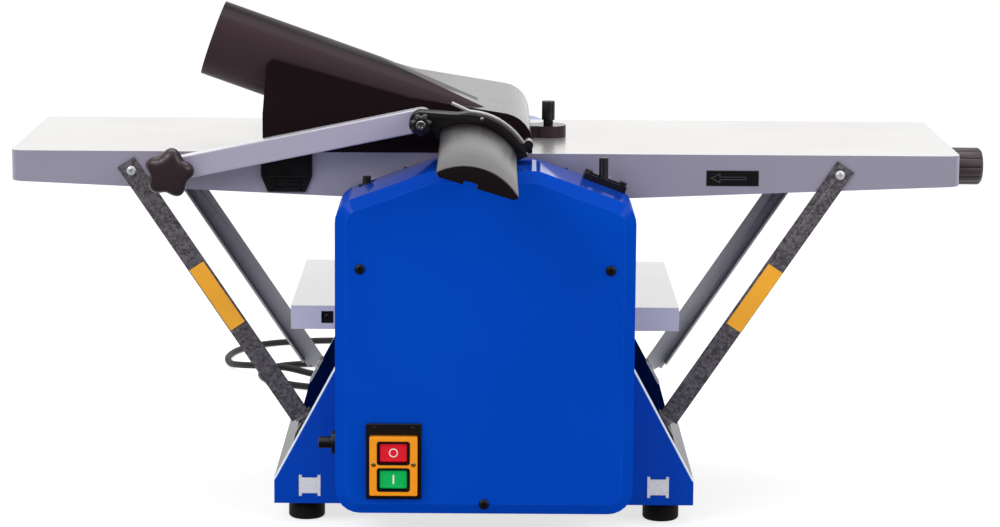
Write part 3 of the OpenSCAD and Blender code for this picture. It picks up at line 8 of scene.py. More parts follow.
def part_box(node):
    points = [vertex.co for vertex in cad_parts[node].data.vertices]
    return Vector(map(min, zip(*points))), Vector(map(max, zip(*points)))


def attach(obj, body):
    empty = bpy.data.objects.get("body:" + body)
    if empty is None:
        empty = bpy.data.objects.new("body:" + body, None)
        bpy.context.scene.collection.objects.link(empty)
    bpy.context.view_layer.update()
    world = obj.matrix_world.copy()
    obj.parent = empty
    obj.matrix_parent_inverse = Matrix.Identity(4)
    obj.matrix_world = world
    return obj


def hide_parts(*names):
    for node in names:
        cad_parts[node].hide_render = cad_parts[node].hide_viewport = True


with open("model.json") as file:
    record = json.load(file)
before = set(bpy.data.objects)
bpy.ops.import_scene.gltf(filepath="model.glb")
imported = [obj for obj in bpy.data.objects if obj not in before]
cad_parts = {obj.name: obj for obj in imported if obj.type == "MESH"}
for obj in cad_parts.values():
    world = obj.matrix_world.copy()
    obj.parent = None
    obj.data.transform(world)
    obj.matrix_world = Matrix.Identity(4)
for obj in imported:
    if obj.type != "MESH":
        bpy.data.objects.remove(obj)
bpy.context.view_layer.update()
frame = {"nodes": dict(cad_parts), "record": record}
scene = bpy.context.scene
cadNodes = frame["nodes"]
bodyOf = {}
for bodyName, members in frame["record"]["behaviour"]["bodies"].items():
    for member in members:
        bodyOf[member] = bodyName
slotOf = {entry["node"]: entry["material_slot"] for entry in frame["record"]["subparts"]}

# camera, matched to the tables' corners in the photograph
view = {
    "place": (0.0, -3.183, 0.780),
    "tilt": 9.7,
    "pan": 0.27,
    "roll": 0.42,
    "lens": 113.4,
}
camData = bpy.data.cameras.new("photoCamera")
camData.sensor_width = 36.0
camData.lens = view["lens"]
camData.clip_end = 50.0
camera = bpy.data.objects.new("photoCamera", camData)
scene.collection.objects.link(camera)
turn = Matrix.Rotation(math.radians(-view["pan"]), 4, "Z")
turn = turn @ Matrix.Rotation(math.radians(90 - view["tilt"]), 4, "X")
turn = turn @ Matrix.Rotation(math.radians(view["roll"]), 4, "Z")
camera.matrix_world = Matrix.Translation(view["place"]) @ turn
scene.camera = camera


# angles up to which neighbouring faces shade as one, in degrees
shadeAngle = {"tube": 50, "turned": 40, "flat": 38, "screw": 35}


def addObject(name, mesh):
    obj = bpy.data.objects.new(name, mesh)
    scene.collection.objects.link(obj)
    return obj


def smoothBy(mesh, degrees):
    for poly in mesh.polygons:
        poly.use_smooth = True
    mesh.set_sharp_from_angle(angle=math.radians(degrees))


def meshFrom(bm, name, smooth=None):
    bmesh.ops.recalc_face_normals(bm, faces=bm.faces)
    mesh = bpy.data.meshes.new(name)
    bm.to_mesh(mesh)
    bm.free()
    if smooth:
        smoothBy(mesh, smooth)
    return mesh


def joinLoops(bm, first, second):
    count = len(first)
    for k in range(count):
        n = (k + 1) % count
        bm.faces.new((first[k], first[n], second[n], second[k]))


def settle(obj):
    # modifiers become plain mesh
    graph = bpy.context.evaluated_depsgraph_get()
    mesh = bpy.data.meshes.new_from_object(obj.evaluated_get(graph), depsgraph=graph)
    obj.modifiers.clear()
    obj.data = mesh
    return obj


def levelNormals(obj, degrees):
    # flat faces keep their own direction, so only the broken edges shade round
    smoothBy(obj.data, degrees)
    mod = obj.modifiers.new("level", "WEIGHTED_NORMAL")
    mod.weight = 100
    mod.keep_sharp = True
    settle(obj)


def breakEdges(obj, width, segments, angle, miter="MITER_SHARP"):
    mod = obj.modifiers.new("edges", "BEVEL")
    mod.width = width
    mod.segments = segments
    mod.limit_method = "ANGLE"
    mod.angle_limit = math.radians(angle)
    mod.miter_outer = miter
    settle(obj)


def dress(obj, material, body, stands=()):
    obj.data.materials.clear()
    obj.data.materials.append(material)
    for poly in obj.data.polygons:
        poly.material_index = 0
    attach(obj, body)
    if stands:
        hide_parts(*stands)
    return obj


def dressAs(obj, material, node):
    return dress(obj, finish[material], bodyOf[node], (node,))


# shader groups

def shaderGroup(name, inputs, outputs):
    tree = bpy.data.node_groups.new(name, "ShaderNodeTree")
    for label, value in inputs:
        sock = tree.interface.new_socket(label, in_out="INPUT", socket_type="NodeSocketFloat")
        sock.default_value = value
    for label in outputs:
        tree.interface.new_socket(label, in_out="OUTPUT", socket_type="NodeSocketFloat")
    return tree, tree.nodes.new("NodeGroupInput"), tree.nodes.new("NodeGroupOutput")


def addNode(tree, kind, **props):
    node = tree.nodes.new(kind)
    for key, value in props.items():
        setattr(node, key, value)
    return node


def feed(tree, value, socket):
    if isinstance(value, (int, float, tuple)):
        socket.default_value = value
    else:
        tree.links.new(value, socket)


def mathNode(tree, operation, first, second):
    node = addNode(tree, "ShaderNodeMath", operation=operation)
    feed(tree, first, node.inputs[0])
    feed(tree, second, node.inputs[1])
    return node.outputs[0]


def noiseNode(tree, vector, scale, detail=3.0, rough=0.55):
    node = addNode(tree, "ShaderNodeTexNoise")
    node.inputs["Detail"].default_value = detail
    node.inputs["Roughness"].default_value = rough
    tree.links.new(vector, node.inputs["Vector"])
    feed(tree, scale, node.inputs["Scale"])
    return node.outputs[0]


def axesOf(tree, coordinate):
    split = addNode(tree, "ShaderNodeSeparateXYZ")
    tree.links.new(addNode(tree, "ShaderNodeTexCoord").outputs[coordinate], split.inputs[0])
    return split.outputs


# moulded or sprayed skin: fine pimples and broad cloudy patches
mouldGrain, inp, out = shaderGroup("mouldGrain", [("Pimples", 1400.0), ("Clouds", 9.0)],
                                   ["Height", "Patch"])
place = addNode(mouldGrain, "ShaderNodeTexCoord").outputs["Object"]
cell = addNode(mouldGrain, "ShaderNodeTexVoronoi", feature="SMOOTH_F1")
mouldGrain.links.new(place, cell.inputs["Vector"])
mouldGrain.links.new(inp.outputs["Pimples"], cell.inputs["Scale"])
fine = noiseNode(mouldGrain, place, inp.outputs["Pimples"], 2.0)
mouldGrain.links.new(mathNode(mouldGrain, "ADD", cell.outputs["Distance"], fine), out.inputs["Height"])
mouldGrain.links.new(noiseNode(mouldGrain, place, inp.outputs["Clouds"], 4.0), out.inputs["Patch"])

# ground or drawn metal: long thin lines, with a slow waviness
groundLines, inp, out = shaderGroup("groundLines", [("Across", 900.0), ("Along", 7.0)], ["Height", "Wave"])
place = addNode(groundLines, "ShaderNodeTexCoord").outputs["Object"]
axes = axesOf(groundLines, "Object")
join = addNode(groundLines, "ShaderNodeCombineXYZ")
for axis, scale in enumerate(("Along", "Across", "Across")):
    groundLines.links.new(mathNode(groundLines, "MULTIPLY", axes[axis], inp.outputs[scale]), join.inputs[axis])
groundLines.links.new(noiseNode(groundLines, join.outputs[0], 1.0, 4.0), out.inputs["Height"])
groundLines.links.new(noiseNode(groundLines, place, inp.outputs["Along"], 3.0), out.inputs["Wave"])

# zinc flowers of hot-dip steel
zincLook = {"flowers": 420.0, "warpScale": 110.0, "warp": 0.004, "streaks": 700.0, "toneShare": 0.6,
            "streakShare": 0.4, "span": (0.2, 0.8), "bump": (0.15, 0.0002), "webFacing": (-0.95, -0.8)}
zincFlower, inp, out = shaderGroup("zincFlower", [("Flowers", zincLook["flowers"])], ["Tone", "Height"])
place = addNode(zincFlower, "ShaderNodeTexCoord").outputs["Object"]
warp = addNode(zincFlower, "ShaderNodeTexNoise")
warp.inputs["Scale"].default_value = zincLook["warpScale"]
zincFlower.links.new(place, warp.inputs["Vector"])
blur = addNode(zincFlower, "ShaderNodeVectorMath", operation="MULTIPLY_ADD")
blur.inputs[1].default_value = (zincLook["warp"],) * 3
zincFlower.links.new(warp.outputs["Color"], blur.inputs[0])
zincFlower.links.new(place, blur.inputs[2])
cell = addNode(zincFlower, "ShaderNodeTexVoronoi")
zincFlower.links.new(blur.outputs[0], cell.inputs["Vector"])
zincFlower.links.new(inp.outputs["Flowers"], cell.inputs["Scale"])
grey = addNode(zincFlower, "ShaderNodeSeparateColor")
zincFlower.links.new(cell.outputs["Color"], grey.inputs[0])
streak = noiseNode(zincFlower, blur.outputs[0], zincLook["streaks"], 5.0)
mixed = mathNode(zincFlower, "MULTIPLY", grey.outputs[0], zincLook["toneShare"])
faint = mathNode(zincFlower, "MULTIPLY", streak, zincLook["streakShare"])
zincFlower.links.new(mathNode(zincFlower, "ADD", mixed, faint), out.inputs["Tone"])
zincFlower.links.new(streak, out.inputs["Height"])


coatRough = 0.08
drawnLook = {"across": 900.0, "along": 7.0, "depth": 0.0001}
alloyLook = {"lineScale": 1100.0, "lineAlong": 6.0, "castScale": 1300.0, "castClouds": 7.0,
             "topFacing": (0.75, 0.9), "bump": (0.12, 0.0002)}


def blankTree(owner, endKind):
    owner.use_nodes = True
    owner.node_tree.nodes.clear()
    return owner.node_tree, owner.node_tree.nodes.new(endKind)


def blankMaterial(name):
    mat = bpy.data.materials.new(name)
    tree, end = blankTree(mat, "ShaderNodeOutputMaterial")
    shader = tree.nodes.new("ShaderNodeBsdfPrincipled")
    tree.links.new(shader.outputs[0], end.inputs[0])
    return mat, tree, shader


def useGroup(tree, group, **values):
    node = addNode(tree, "ShaderNodeGroup", node_tree=group)
    for label, value in values.items():
        node.inputs[label].default_value = value
    return node


def blendColour(tree, factor, first, second):
    node = addNode(tree, "ShaderNodeMix", data_type="RGBA")
    tree.links.new(factor, node.inputs[0])
    for index, value in ((6, first), (7, second)):
        feed(tree, (*value, 1.0) if isinstance(value, tuple) else value, node.inputs[index])
    return node.outputs[2]


def spread(tree, value, low, high, fromLow=0.3, fromHigh=0.7):
    node = addNode(tree, "ShaderNodeMapRange")
    tree.links.new(value, node.inputs["Value"])
    node.inputs["From Min"].default_value = fromLow
    node.inputs["From Max"].default_value = fromHigh
    node.inputs["To Min"].default_value = low
    node.inputs["To Max"].default_value = high
    return node.outputs[0]


def bumpFrom(tree, shader, height, strength, depth):
    node = addNode(tree, "ShaderNodeBump")
    node.inputs["Strength"].default_value = strength
    node.inputs["Distance"].default_value = depth
    tree.links.new(height, node.inputs["Height"])
    tree.links.new(node.outputs[0], shader.inputs["Normal"])


def shaderOf(mat):
    tree = mat.node_tree
    return tree, next(node for node in tree.nodes if node.type == "BSDF_PRINCIPLED")


def between(tree, value, low, high, soft=0.1):
    rise = spread(tree, value, 0.0, 1.0, low - soft, low)
    return mathNode(tree, "MULTIPLY", rise, spread(tree, value, 1.0, 0.0, high, high + soft))


def lacquered(mat, weights, limits, index=1.5):
    # the clear layer changes from the first to the second weight as the surface turns up
    tree, shader = shaderOf(mat)
    up = mathNode(tree, "ABSOLUTE", axesOf(tree, "Normal")[2], 0.0)
    tree.links.new(spread(tree, up, *weights, *limits), shader.inputs["Coat Weight"])
    shader.inputs["Coat IOR"].default_value = index
    return mat


def hoodShell(mat, look):
    # painted light: the tube behind the front panel is painted paler except on its top, standing in for light from
    # the upper front; clear layer on the roof and round the nose
    tree, shader = shaderOf(mat)
    place, up = axesOf(tree, "Object"), axesOf(tree, "Normal")[2]
    tube = mathNode(tree, "MULTIPLY", spread(tree, place[1], 0.0, 1.0, *look["behind"]),
                    spread(tree, up, 1.0, 0.0, *look["tubeUp"]))
    old = shader.inputs["Base Color"].links[0].from_socket
    tree.links.new(blendColour(tree, tube, old, look["tubePaintedLight"]), shader.inputs["Base Color"])
    roof = mathNode(tree, "MULTIPLY", spread(tree, up, 0.0, 1.0, *look["roofUp"]),
                    spread(tree, place[0], look["roofLeft"], 1.0, *look["roofX"]))
    nose = mathNode(tree, "MULTIPLY", spread(tree, up, 0.0, 1.0, *look["noseUp"]),
                    spread(tree, place[0], 0.0, 1.0, *look["noseX"]))
    clear = mathNode(tree, "MAXIMUM", roof, nose)
    tree.links.new(spread(tree, clear, *look["coat"], 0.0, 1.0), shader.inputs["Coat Weight"])
    return mat


def paintedRimHighlights(mat, tone, front, up, soft=0.1):
    # painted highlight: the bent edges between the front and the slanted sides are painted paler, standing in for
    # the lamps' reflection on them
    tree, shader = shaderOf(mat)
    sides = axesOf(tree, "Normal")
    highlightMask = mathNode(tree, "MULTIPLY", between(tree, sides[1], *front, soft), between(tree, sides[2], *up))
    old = shader.inputs["Base Color"].links[0].from_socket
    tree.links.new(blendColour(tree, highlightMask, old, tone), shader.inputs["Base Color"])
    return mat


def grained(name, tones, rough, grain=(1400.0, 9.0), bump=(0.25, 0.0002), metal=0.0, gloss=0.5):
    # grain: scale of the pimples and of the clouds; bump: strength and depth
    mat, tree, shader = blankMaterial(name)
    skin = useGroup(tree, mouldGrain, Pimples=grain[0], Clouds=grain[1])
    patch = skin.outputs["Patch"]
    tone = blendColour(tree, spread(tree, patch, 0.0, 1.0), *tones)
    tree.links.new(tone, shader.inputs["Base Color"])
    tree.links.new(spread(tree, patch, *rough), shader.inputs["Roughness"])
    bumpFrom(tree, shader, skin.outputs["Height"], *bump)
    shader.inputs["Coat Roughness"].default_value = coatRough
    shader.inputs["Metallic"].default_value = metal
    shader.inputs["Specular IOR Level"].default_value = gloss
    return mat


def drawn(name, tones, rough, strength=0.2, metal=1.0):
    mat, tree, shader = blankMaterial(name)
    lines = useGroup(tree, groundLines, Across=drawnLook["across"], Along=drawnLook["along"])
    tone = blendColour(tree, spread(tree, lines.outputs["Wave"], 0.0, 1.0), *tones)
    tree.links.new(tone, shader.inputs["Base Color"])
    tree.links.new(spread(tree, lines.outputs["Height"], *rough), shader.inputs["Roughness"])
    bumpFrom(tree, shader, lines.outputs["Height"], strength, drawnLook["depth"])
    shader.inputs["Metallic"].default_value = metal
    return mat


def zinced(name, dark, light, rough, metal, footLight=None):
    mat, tree, shader = blankMaterial(name)
    flower = useGroup(tree, zincFlower, Flowers=zincLook["flowers"])
    tone = blendColour(tree, spread(tree, flower.outputs["Tone"], 0.0, 1.0, *zincLook["span"]), dark, light)
    if footLight:
        # painted light: the front of the web is painted paler towards the foot, standing in for the light that
        # reaches it under the tables
        low = spread(tree, axesOf(tree, "Object")[2], 1.0, 0.0, *footLight["heights"])
        front = spread(tree, axesOf(tree, "Normal")[1], 1.0, 0.0, *zincLook["webFacing"])
        tone = blendColour(tree, mathNode(tree, "MULTIPLY", low, front), tone, footLight["tone"])
    tree.links.new(tone, shader.inputs["Base Color"])
    tree.links.new(spread(tree, flower.outputs["Tone"], *rough, *zincLook["span"]), shader.inputs["Roughness"])
    bumpFrom(tree, shader, flower.outputs["Height"], *zincLook["bump"])
    shader.inputs["Metallic"].default_value = metal
    return mat


def tableAlloy(name, look):
    # ground on top, sprayed silver grey on the cast sides; rough and metal: sides, then top
    mat, tree, shader = blankMaterial(name)
    lines = useGroup(tree, groundLines, Across=alloyLook["lineScale"], Along=alloyLook["lineAlong"])
    skin = useGroup(tree, mouldGrain, Pimples=alloyLook["castScale"], Clouds=alloyLook["castClouds"])
    top = spread(tree, axesOf(tree, "Normal")[2], 0.0, 1.0, *alloyLook["topFacing"])
    upper = blendColour(tree, spread(tree, lines.outputs["Wave"], 0.0, 1.0), *look["topTones"])
    side = blendColour(tree, spread(tree, skin.outputs["Patch"], 0.0, 1.0), *look["sideTones"])
    tree.links.new(blendColour(tree, top, side, upper), shader.inputs["Base Color"])
    tree.links.new(spread(tree, top, *look["rough"], 0.0, 1.0), shader.inputs["Roughness"])
    tree.links.new(spread(tree, top, *look["metal"], 0.0, 1.0), shader.inputs["Metallic"])
    height = addNode(tree, "ShaderNodeMix")
    tree.links.new(top, height.inputs[0])
    tree.links.new(skin.outputs["Height"], height.inputs[2])
    tree.links.new(lines.outputs["Height"], height.inputs[3])
    bumpFrom(tree, shader, height.outputs[0], *alloyLook["bump"])
    return mat


finish = {
    # painted highlight: pale blue line painted along the crease between the cover's face and its chamfer
    "cover_blue": paintedRimHighlights(
        lacquered(grained("coverBlue", ((0.0008, 0.064, 0.51), (0.0006, 0.054, 0.46)), (0.09, 0.13),
                          (2200.0, 5.0), (0.02, 0.0001), gloss=0.0), (0.12, 1.0), (0.86, 0.92)),
        (0.10, 0.30, 0.88), (-0.965, -0.9), (-0.4, 1.0), 0.02),
    # painted highlight: near-white line painted along the slanted bends of the blue plates
    "pan_blue": paintedRimHighlights(
        grained("panBlue", ((0.0008, 0.066, 0.54), (0.0006, 0.058, 0.49)), (0.12, 0.18), (1500.0, 6.0),
                (0.03, 0.0001), gloss=0.15), (0.85, 0.94, 1.0), (-0.88, -0.2), (0.15, 0.6)),
    # painted shade: the base pan is the same blue paint as the plates, painted nearly black because its sloped
    # sides lie in shade under the tables
    "pan_painted_shade": lacquered(
        grained("panPaintedShade", ((0.0006, 0.006, 0.05), (0.0005, 0.005, 0.042)), (0.3, 0.4), (1500.0, 6.0),
                (0.05, 0.0001), gloss=0.0), (0.0, 1.0), (0.9, 0.97), 2.4),
    "table_alloy": tableAlloy("tableAlloy", {
        "topTones": ((0.84, 0.83, 0.82), (0.78, 0.76, 0.75)),
        "sideTones": ((0.37, 0.35, 0.455), (0.335, 0.315, 0.415)), "rough": (0.42, 0.26),
        "metal": (0.25, 0.85)}),
    # painted light: the thickness table is the same cast alloy as the tables, its sides painted much paler to
    # stand in for light that does not reach them under the cover and tables
    "thick_alloy_painted_light": tableAlloy("thickAlloyPaintedLight", {
        "topTones": ((0.86, 0.85, 0.84), (0.8, 0.79, 0.78)),
        "sideTones": ((0.64, 0.62, 0.77), (0.58, 0.56, 0.70)), "rough": (0.4, 0.22), "metal": (0.1, 0.85)}),
    "zinc_steel": zinced("zincSteel", (0.07, 0.06, 0.069), (0.19, 0.173, 0.197), (0.34, 0.5), 0.3),
    # painted light: the rear strut webs are painted near white towards the foot
    "zinc_painted_light": zinced("zincPaintedLight", (0.07, 0.07, 0.085), (0.2, 0.2, 0.235), (0.3, 0.46), 0.3,
                        {"heights": (0.17, 0.36), "tone": (0.95, 0.95, 1.0)}),
    "bright_steel": drawn("brightSteel", ((0.62, 0.62, 0.64), (0.5, 0.5, 0.52)), (0.2, 0.36)),
    "dark_alloy": grained("darkAlloy", ((0.12, 0.12, 0.13), (0.07, 0.07, 0.08)), (0.45, 0.6), (700.0, 12.0),
                          (0.3, 0.0004), metal=0.7),
    "pale_screw": drawn("paleScrew", ((0.75, 0.76, 0.8), (0.6, 0.61, 0.65)), (0.25, 0.4), 0.1, 0.35),
    "clamp_steel": drawn("clampSteel", ((0.62, 0.6, 0.6), (0.5, 0.48, 0.48)), (0.16, 0.26), 0.1, 0.6),
    "bronze": drawn("bronze", ((0.55, 0.36, 0.14), (0.42, 0.27, 0.1)), (0.3, 0.45)),
    "black_plastic": grained("blackPlastic", ((0.008, 0.0058, 0.007), (0.0055, 0.004, 0.005)), (0.3, 0.4),
                             bump=(0.12, 0.0001)),
    "grey_plastic": grained("knobPlastic", ((0.06, 0.044, 0.052), (0.04, 0.028, 0.034)), (0.42, 0.55)),
    "black_rubber": grained("blackRubber", ((0.005, 0.0035, 0.004), (0.003, 0.002, 0.0025)), (0.45, 0.6),
                            (900.0, 14.0), (0.2, 0.0002), gloss=0.35),
    "yellow_plastic": grained("yellowPlastic", ((0.97, 0.33, 0.005), (0.90, 0.30, 0.004)), (0.18, 0.24),
                              bump=(0.08, 0.0001)),
    "red_plastic": grained("redPlastic", ((0.80, 0.008, 0.026), (0.72, 0.006, 0.021)), (0.16, 0.22),
                           bump=(0.1, 0.0001)),
    "green_plastic": grained("greenPlastic", ((0.0015, 0.50, 0.1), (0.001, 0.45, 0.088)), (0.16, 0.22),
                             bump=(0.08, 0.0001)),
    "black_steel": grained("blackSteel", ((0.02, 0.019, 0.022), (0.012, 0.012, 0.014)), (0.28, 0.42),
                           (1800.0, 30.0), (0.15, 0.0001), metal=0.5),
    "white_mark": grained("whiteMark", ((0.82, 0.82, 0.82), (0.74, 0.74, 0.74)), (0.4, 0.5)),
    "amber_film": grained("amberFilm", ((0.98, 0.45, 0.02), (0.90, 0.40, 0.016)), (0.32, 0.42), (1800.0, 20.0),
                          (0.05, 0.0001)),
    "hood_black": hoodShell(
        grained("hoodBlack", ((0.0135, 0.0072, 0.0088), (0.0115, 0.0058, 0.0072)), (0.27, 0.34), (1000.0, 8.0),
                (0.10, 0.0001), gloss=0.05),
        # painted light: the tube is painted paler than the rest of the hood
        {"behind": (-0.131, -0.128), "tubeUp": (0.7, 0.85), "tubePaintedLight": (0.043, 0.0265, 0.031),
         "roofUp": (0.948, 0.962), "roofLeft": 0.4, "roofX": (-0.13, -0.03), "noseUp": (0.1, 0.45),
         "noseX": (0.004, 0.012), "coat": (0.04, 0.7)}),
    "guard_black": grained("guardBlack", ((0.0095, 0.0052, 0.0068), (0.0075, 0.004, 0.0055)), (0.22, 0.28),
                           (900.0, 9.0), (0.05, 0.0001)),
    "knob_brown": grained("knobBrown", ((0.034, 0.021, 0.025), (0.026, 0.015, 0.019)), (0.26, 0.34),
                          (1600.0, 10.0), (0.06, 0.0001)),
    "tab_zinc": zinced("tabZinc", (0.86, 0.86, 0.88), (0.97, 0.97, 0.98), (0.3, 0.45), 0.05),
    "arm_alloy": tableAlloy("armAlloy", {
        "topTones": ((0.84, 0.83, 0.86), (0.8, 0.79, 0.82)),
        "sideTones": ((0.46, 0.43, 0.545), (0.41, 0.385, 0.495)), "rough": (0.36, 0.26), "metal": (0.1, 0.4)}),
}
print("finishes:", len(finish))

# mains lead
lead = {
    "diameter": 0.008,
    "exit": (-0.165, 0.191, 0.062),
    "route": [
        (-165, 191, 62), (-165, 215, 61), (-165, 245, 50), (-164, 272, 30), (-162, 300, 12), (-160, 332, 4),
        (-158, 375, 4), (-164, 425, 4), (-190, 468, 4), (-228, 490, 4), (-260, 518, 4), (-270, 560, 4),
        (-252, 600, 4), (-212, 617, 4), (-160, 614, 4), (-112, 600, 4), (-86, 562, 4), (-106, 524, 4),
        (-152, 518, 4), (-198, 532, 7), (-238, 546, 13), (-268, 558, 13), (-296, 582, 9), (-313, 618, 4),
        (-318, 660, 4), (-305, 708, 4), (-270, 745, 4), (-215, 763, 4), (-150, 765, 4), (-92, 745, 4),
        (-55, 702, 4), (-42, 650, 4), (-38, 590, 4), (-34, 530, 4), (-28, 460, 4), (-22, 390, 4),
        (-20, 340, 4), (-20, 298, 4)],
    "coilMid": (32.0, 290.0),
    "coilRadius": 52.0,
    "coilStep": 9.6,
    "coilTurns": 2,
    "coilSteps": 48,
    "sides": 16,
    "perSpan": 8,
}


def smoothRoute(points, perSpan):
    path = []
    last = len(points) - 1
    for i in range(last):
        a, b = Vector(points[max(i - 1, 0)]), Vector(points[i])
        c, d = Vector(points[i + 1]), Vector(points[min(i + 2, last)])
        for j in range(perSpan):
            t = j / perSpan
            path.append(0.5 * (2 * b + (c - a) * t + (2 * a - 5 * b + 4 * c - d) * t * t
                               + (3 * b - a - 3 * c + d) * t ** 3))
    path.append(Vector(points[last]))
    for point in path:
        point.z = max(point.z, lead["diameter"] * 500)
    return path


def coilPlace(turns):
    angle = math.pi + 2 * math.pi * turns
    inner = lead["coilRadius"] - lead["coilTurns"] * lead["coilStep"]
    back = turns - lead["coilTurns"] - 0.5
    climb = min(max((turns - lead["coilTurns"]) * 2, 0), 1)
    radius = inner
    if turns < lead["coilTurns"]:
        radius = lead["coilRadius"] - turns * lead["coilStep"]
    elif back > 0:
        radius = inner + back * lead["coilStep"]
    half = lead["diameter"] * 500
    midX, midY = lead["coilMid"]
    return Vector((midX + radius * math.cos(angle), midY + radius * math.sin(angle),
                   half + lead["coilStep"] * climb))


def tubeMesh(name, path, radius, sides):
    bm = bmesh.new()
    rings = []
    for i, point in enumerate(path):
        along = (path[min(i + 1, len(path) - 1)] - path[max(i - 1, 0)]).normalized()
        side = along.cross(Vector((0, 0, 1))).normalized()
        up = side.cross(along)
        ring = []
        for k in range(sides):
            a = 2 * math.pi * k / sides
            ring.append(bm.verts.new(point + radius * (math.cos(a) * side + math.sin(a) * up)))
        rings.append(ring)
    for first, second in zip(rings, rings[1:]):
        joinLoops(bm, first, second)
    bm.faces.new(rings[0][::-1])
    bm.faces.new(rings[-1])
    return meshFrom(bm, name, shadeAngle["tube"])


freePath = [p / 1000 for p in smoothRoute(lead["route"], lead["perSpan"])]
coilAll = 2 * lead["coilTurns"] + 0.5
coilPath = [coilPlace(i / lead["coilSteps"]) / 1000 for i in range(int(coilAll * lead["coilSteps"]) + 1)]
coilPath.insert(0, coilPath[0] + Vector((0, lead["diameter"], 0)))
coilPath.append(coilPath[-1] + Vector((0, lead["diameter"], 0)))
leadPath = freePath + coilPath[1:]
leadObj = addObject("mainsLead", tubeMesh("mainsLead", leadPath, lead["diameter"] / 2, lead["sides"]))
dress(leadObj, finish["black_rubber"], "machine", ("cord", "cord_coil"))

# edges of the CAD nodes are broken: radius, segments, least angle and, where given, the angle shaded smooth
edges = {
    "base_pan": (0.0008, 2, 25),
    "front_plate": (0.0024, 3, 25),
    "rear_plate": (0.0024, 3, 25),
    "drive_cover": (0.0030, 4, 20),
    "rear_cover": (0.0025, 3, 20),
    "rubber_feet": (0.0010, 2, 30),
    "outfeed_table": (0.0016, 3, 25),
    "infeed_table": (0.0016, 3, 25),
    "thickness_table": (0.0014, 3, 25),
    "feed_arrow_plate": (0.0003, 2, 30),
    **{row + table + "_strut": (0.0006, 2, 30, 20)
       for table in ("_outfeed", "_infeed") for row in ("front", "rear")},
    "lever_gate": (0.0008, 2, 30),
    "feed_lever": (0.0012, 3, 30),
    "switch_plate": (0.0008, 2, 30),
    "switch_frame": (0.0016, 3, 30),
    "overload_breaker": (0.0006, 2, 30),
    "reset_button": (0.0010, 2, 30),
    "guard_bracket": (0.0012, 2, 30),
    "guard_arm": (0.0022, 3, 30),
    "guard_holder": (0.0010, 2, 30),
    "clamp_lever": (0.0004, 2, 30),
    "guard": (0.0012, 3, 30),
    "chip_hood": (0.0014, 3, 28),
    "hood_thumb_screw": (0.0006, 2, 35),
    "front_spindle": (0.0006, 2, 30),
    "cord_gland": (0.0006, 2, 30),
}
roundNodes = ("guard", "guard_holder", "feed_lever", "rubber_feet", "hood_thumb_screw", "front_spindle",
              "cord_gland", "clamp_lever")
ownFinish = {"chip_hood": "hood_black", "guard": "guard_black", "rear_outfeed_strut": "zinc_painted_light",
             "rear_infeed_strut": "zinc_painted_light", "base_pan": "pan_painted_shade", "thickness_table": "thick_alloy_painted_light",
             "guard_arm": "arm_alloy", "front_spindle": "black_steel", "clamp_lever": "clamp_steel"}
ownPieces = ("cord", "cord_coil", "arm_knob", "holder_knob", "depth_knob", "cover_screws", "fixed_strut_screws",
             "infeed_strut_screws", "stop_button", "start_button", "hood_clip")


weldGap, flatAngle = 2e-6, 0.5
bendLook = {"offset": 0.0027, "segments": 5, "leastX": 0.03, "leastZ": 0.06, "level": 1e-5, "sameFace": 1e-4}


def bendSlants(bm):
    # wide bends along the front plate's slanted edges
    slants = []
    for edge in bm.edges:
        run = edge.verts[1].co - edge.verts[0].co
        steep = abs(run.x) > bendLook["leastX"] and abs(run.z) > bendLook["leastZ"]
        if steep and abs(run.y) < bendLook["level"]:
            slants.append(edge)
    front = min(edge.verts[0].co.y for edge in slants)
    slants = [edge for edge in slants if edge.verts[0].co.y < front + bendLook["sameFace"]]
    bmesh.ops.bevel(bm, geom=slants, offset=bendLook["offset"], offset_type="OFFSET",
                    segments=bendLook["segments"], profile=0.5, affect="EDGES", clamp_overlap=False)
    print("slanted bends:", len(slants))


def softenedNode(node, radius, segments, angle, smooth=shadeAngle["flat"]):
    mesh = cadNodes[node].data.copy()
    bm = bmesh.new()
    bm.from_mesh(mesh)
    bmesh.ops.remove_doubles(bm, verts=bm.verts, dist=weldGap)
    bmesh.ops.dissolve_limit(bm, angle_limit=math.radians(flatAngle), verts=bm.verts, edges=bm.edges)
    if node == "front_plate":
        bendSlants(bm)
    bm.to_mesh(mesh)
    bm.free()
    obj = addObject("piece." + node, mesh)
    breakEdges(obj, radius, segments, angle, "MITER_ARC")
    if node in roundNodes:
        smoothBy(obj.data, smooth)
    else:
        levelNormals(obj, smooth)
    return obj


for node, sizes in edges.items():
    dressAs(softenedNode(node, *sizes), ownFinish.get(node, slotOf[node]), node)
print("broken edges:", len(edges))

for node, obj in cadNodes.items():
    if node in edges or node in ownPieces:
        continue
    obj.data.materials.clear()
    obj.data.materials.append(finish[slotOf[node]])
print("kept nodes dressed")

# pieces turned about an axis, with lobes where the piece has them

def aimed(direction, place):
    turnTo = Vector(direction).to_track_quat("Z", "Y").to_matrix().to_4x4()
    return Matrix.Translation(place) @ turnTo


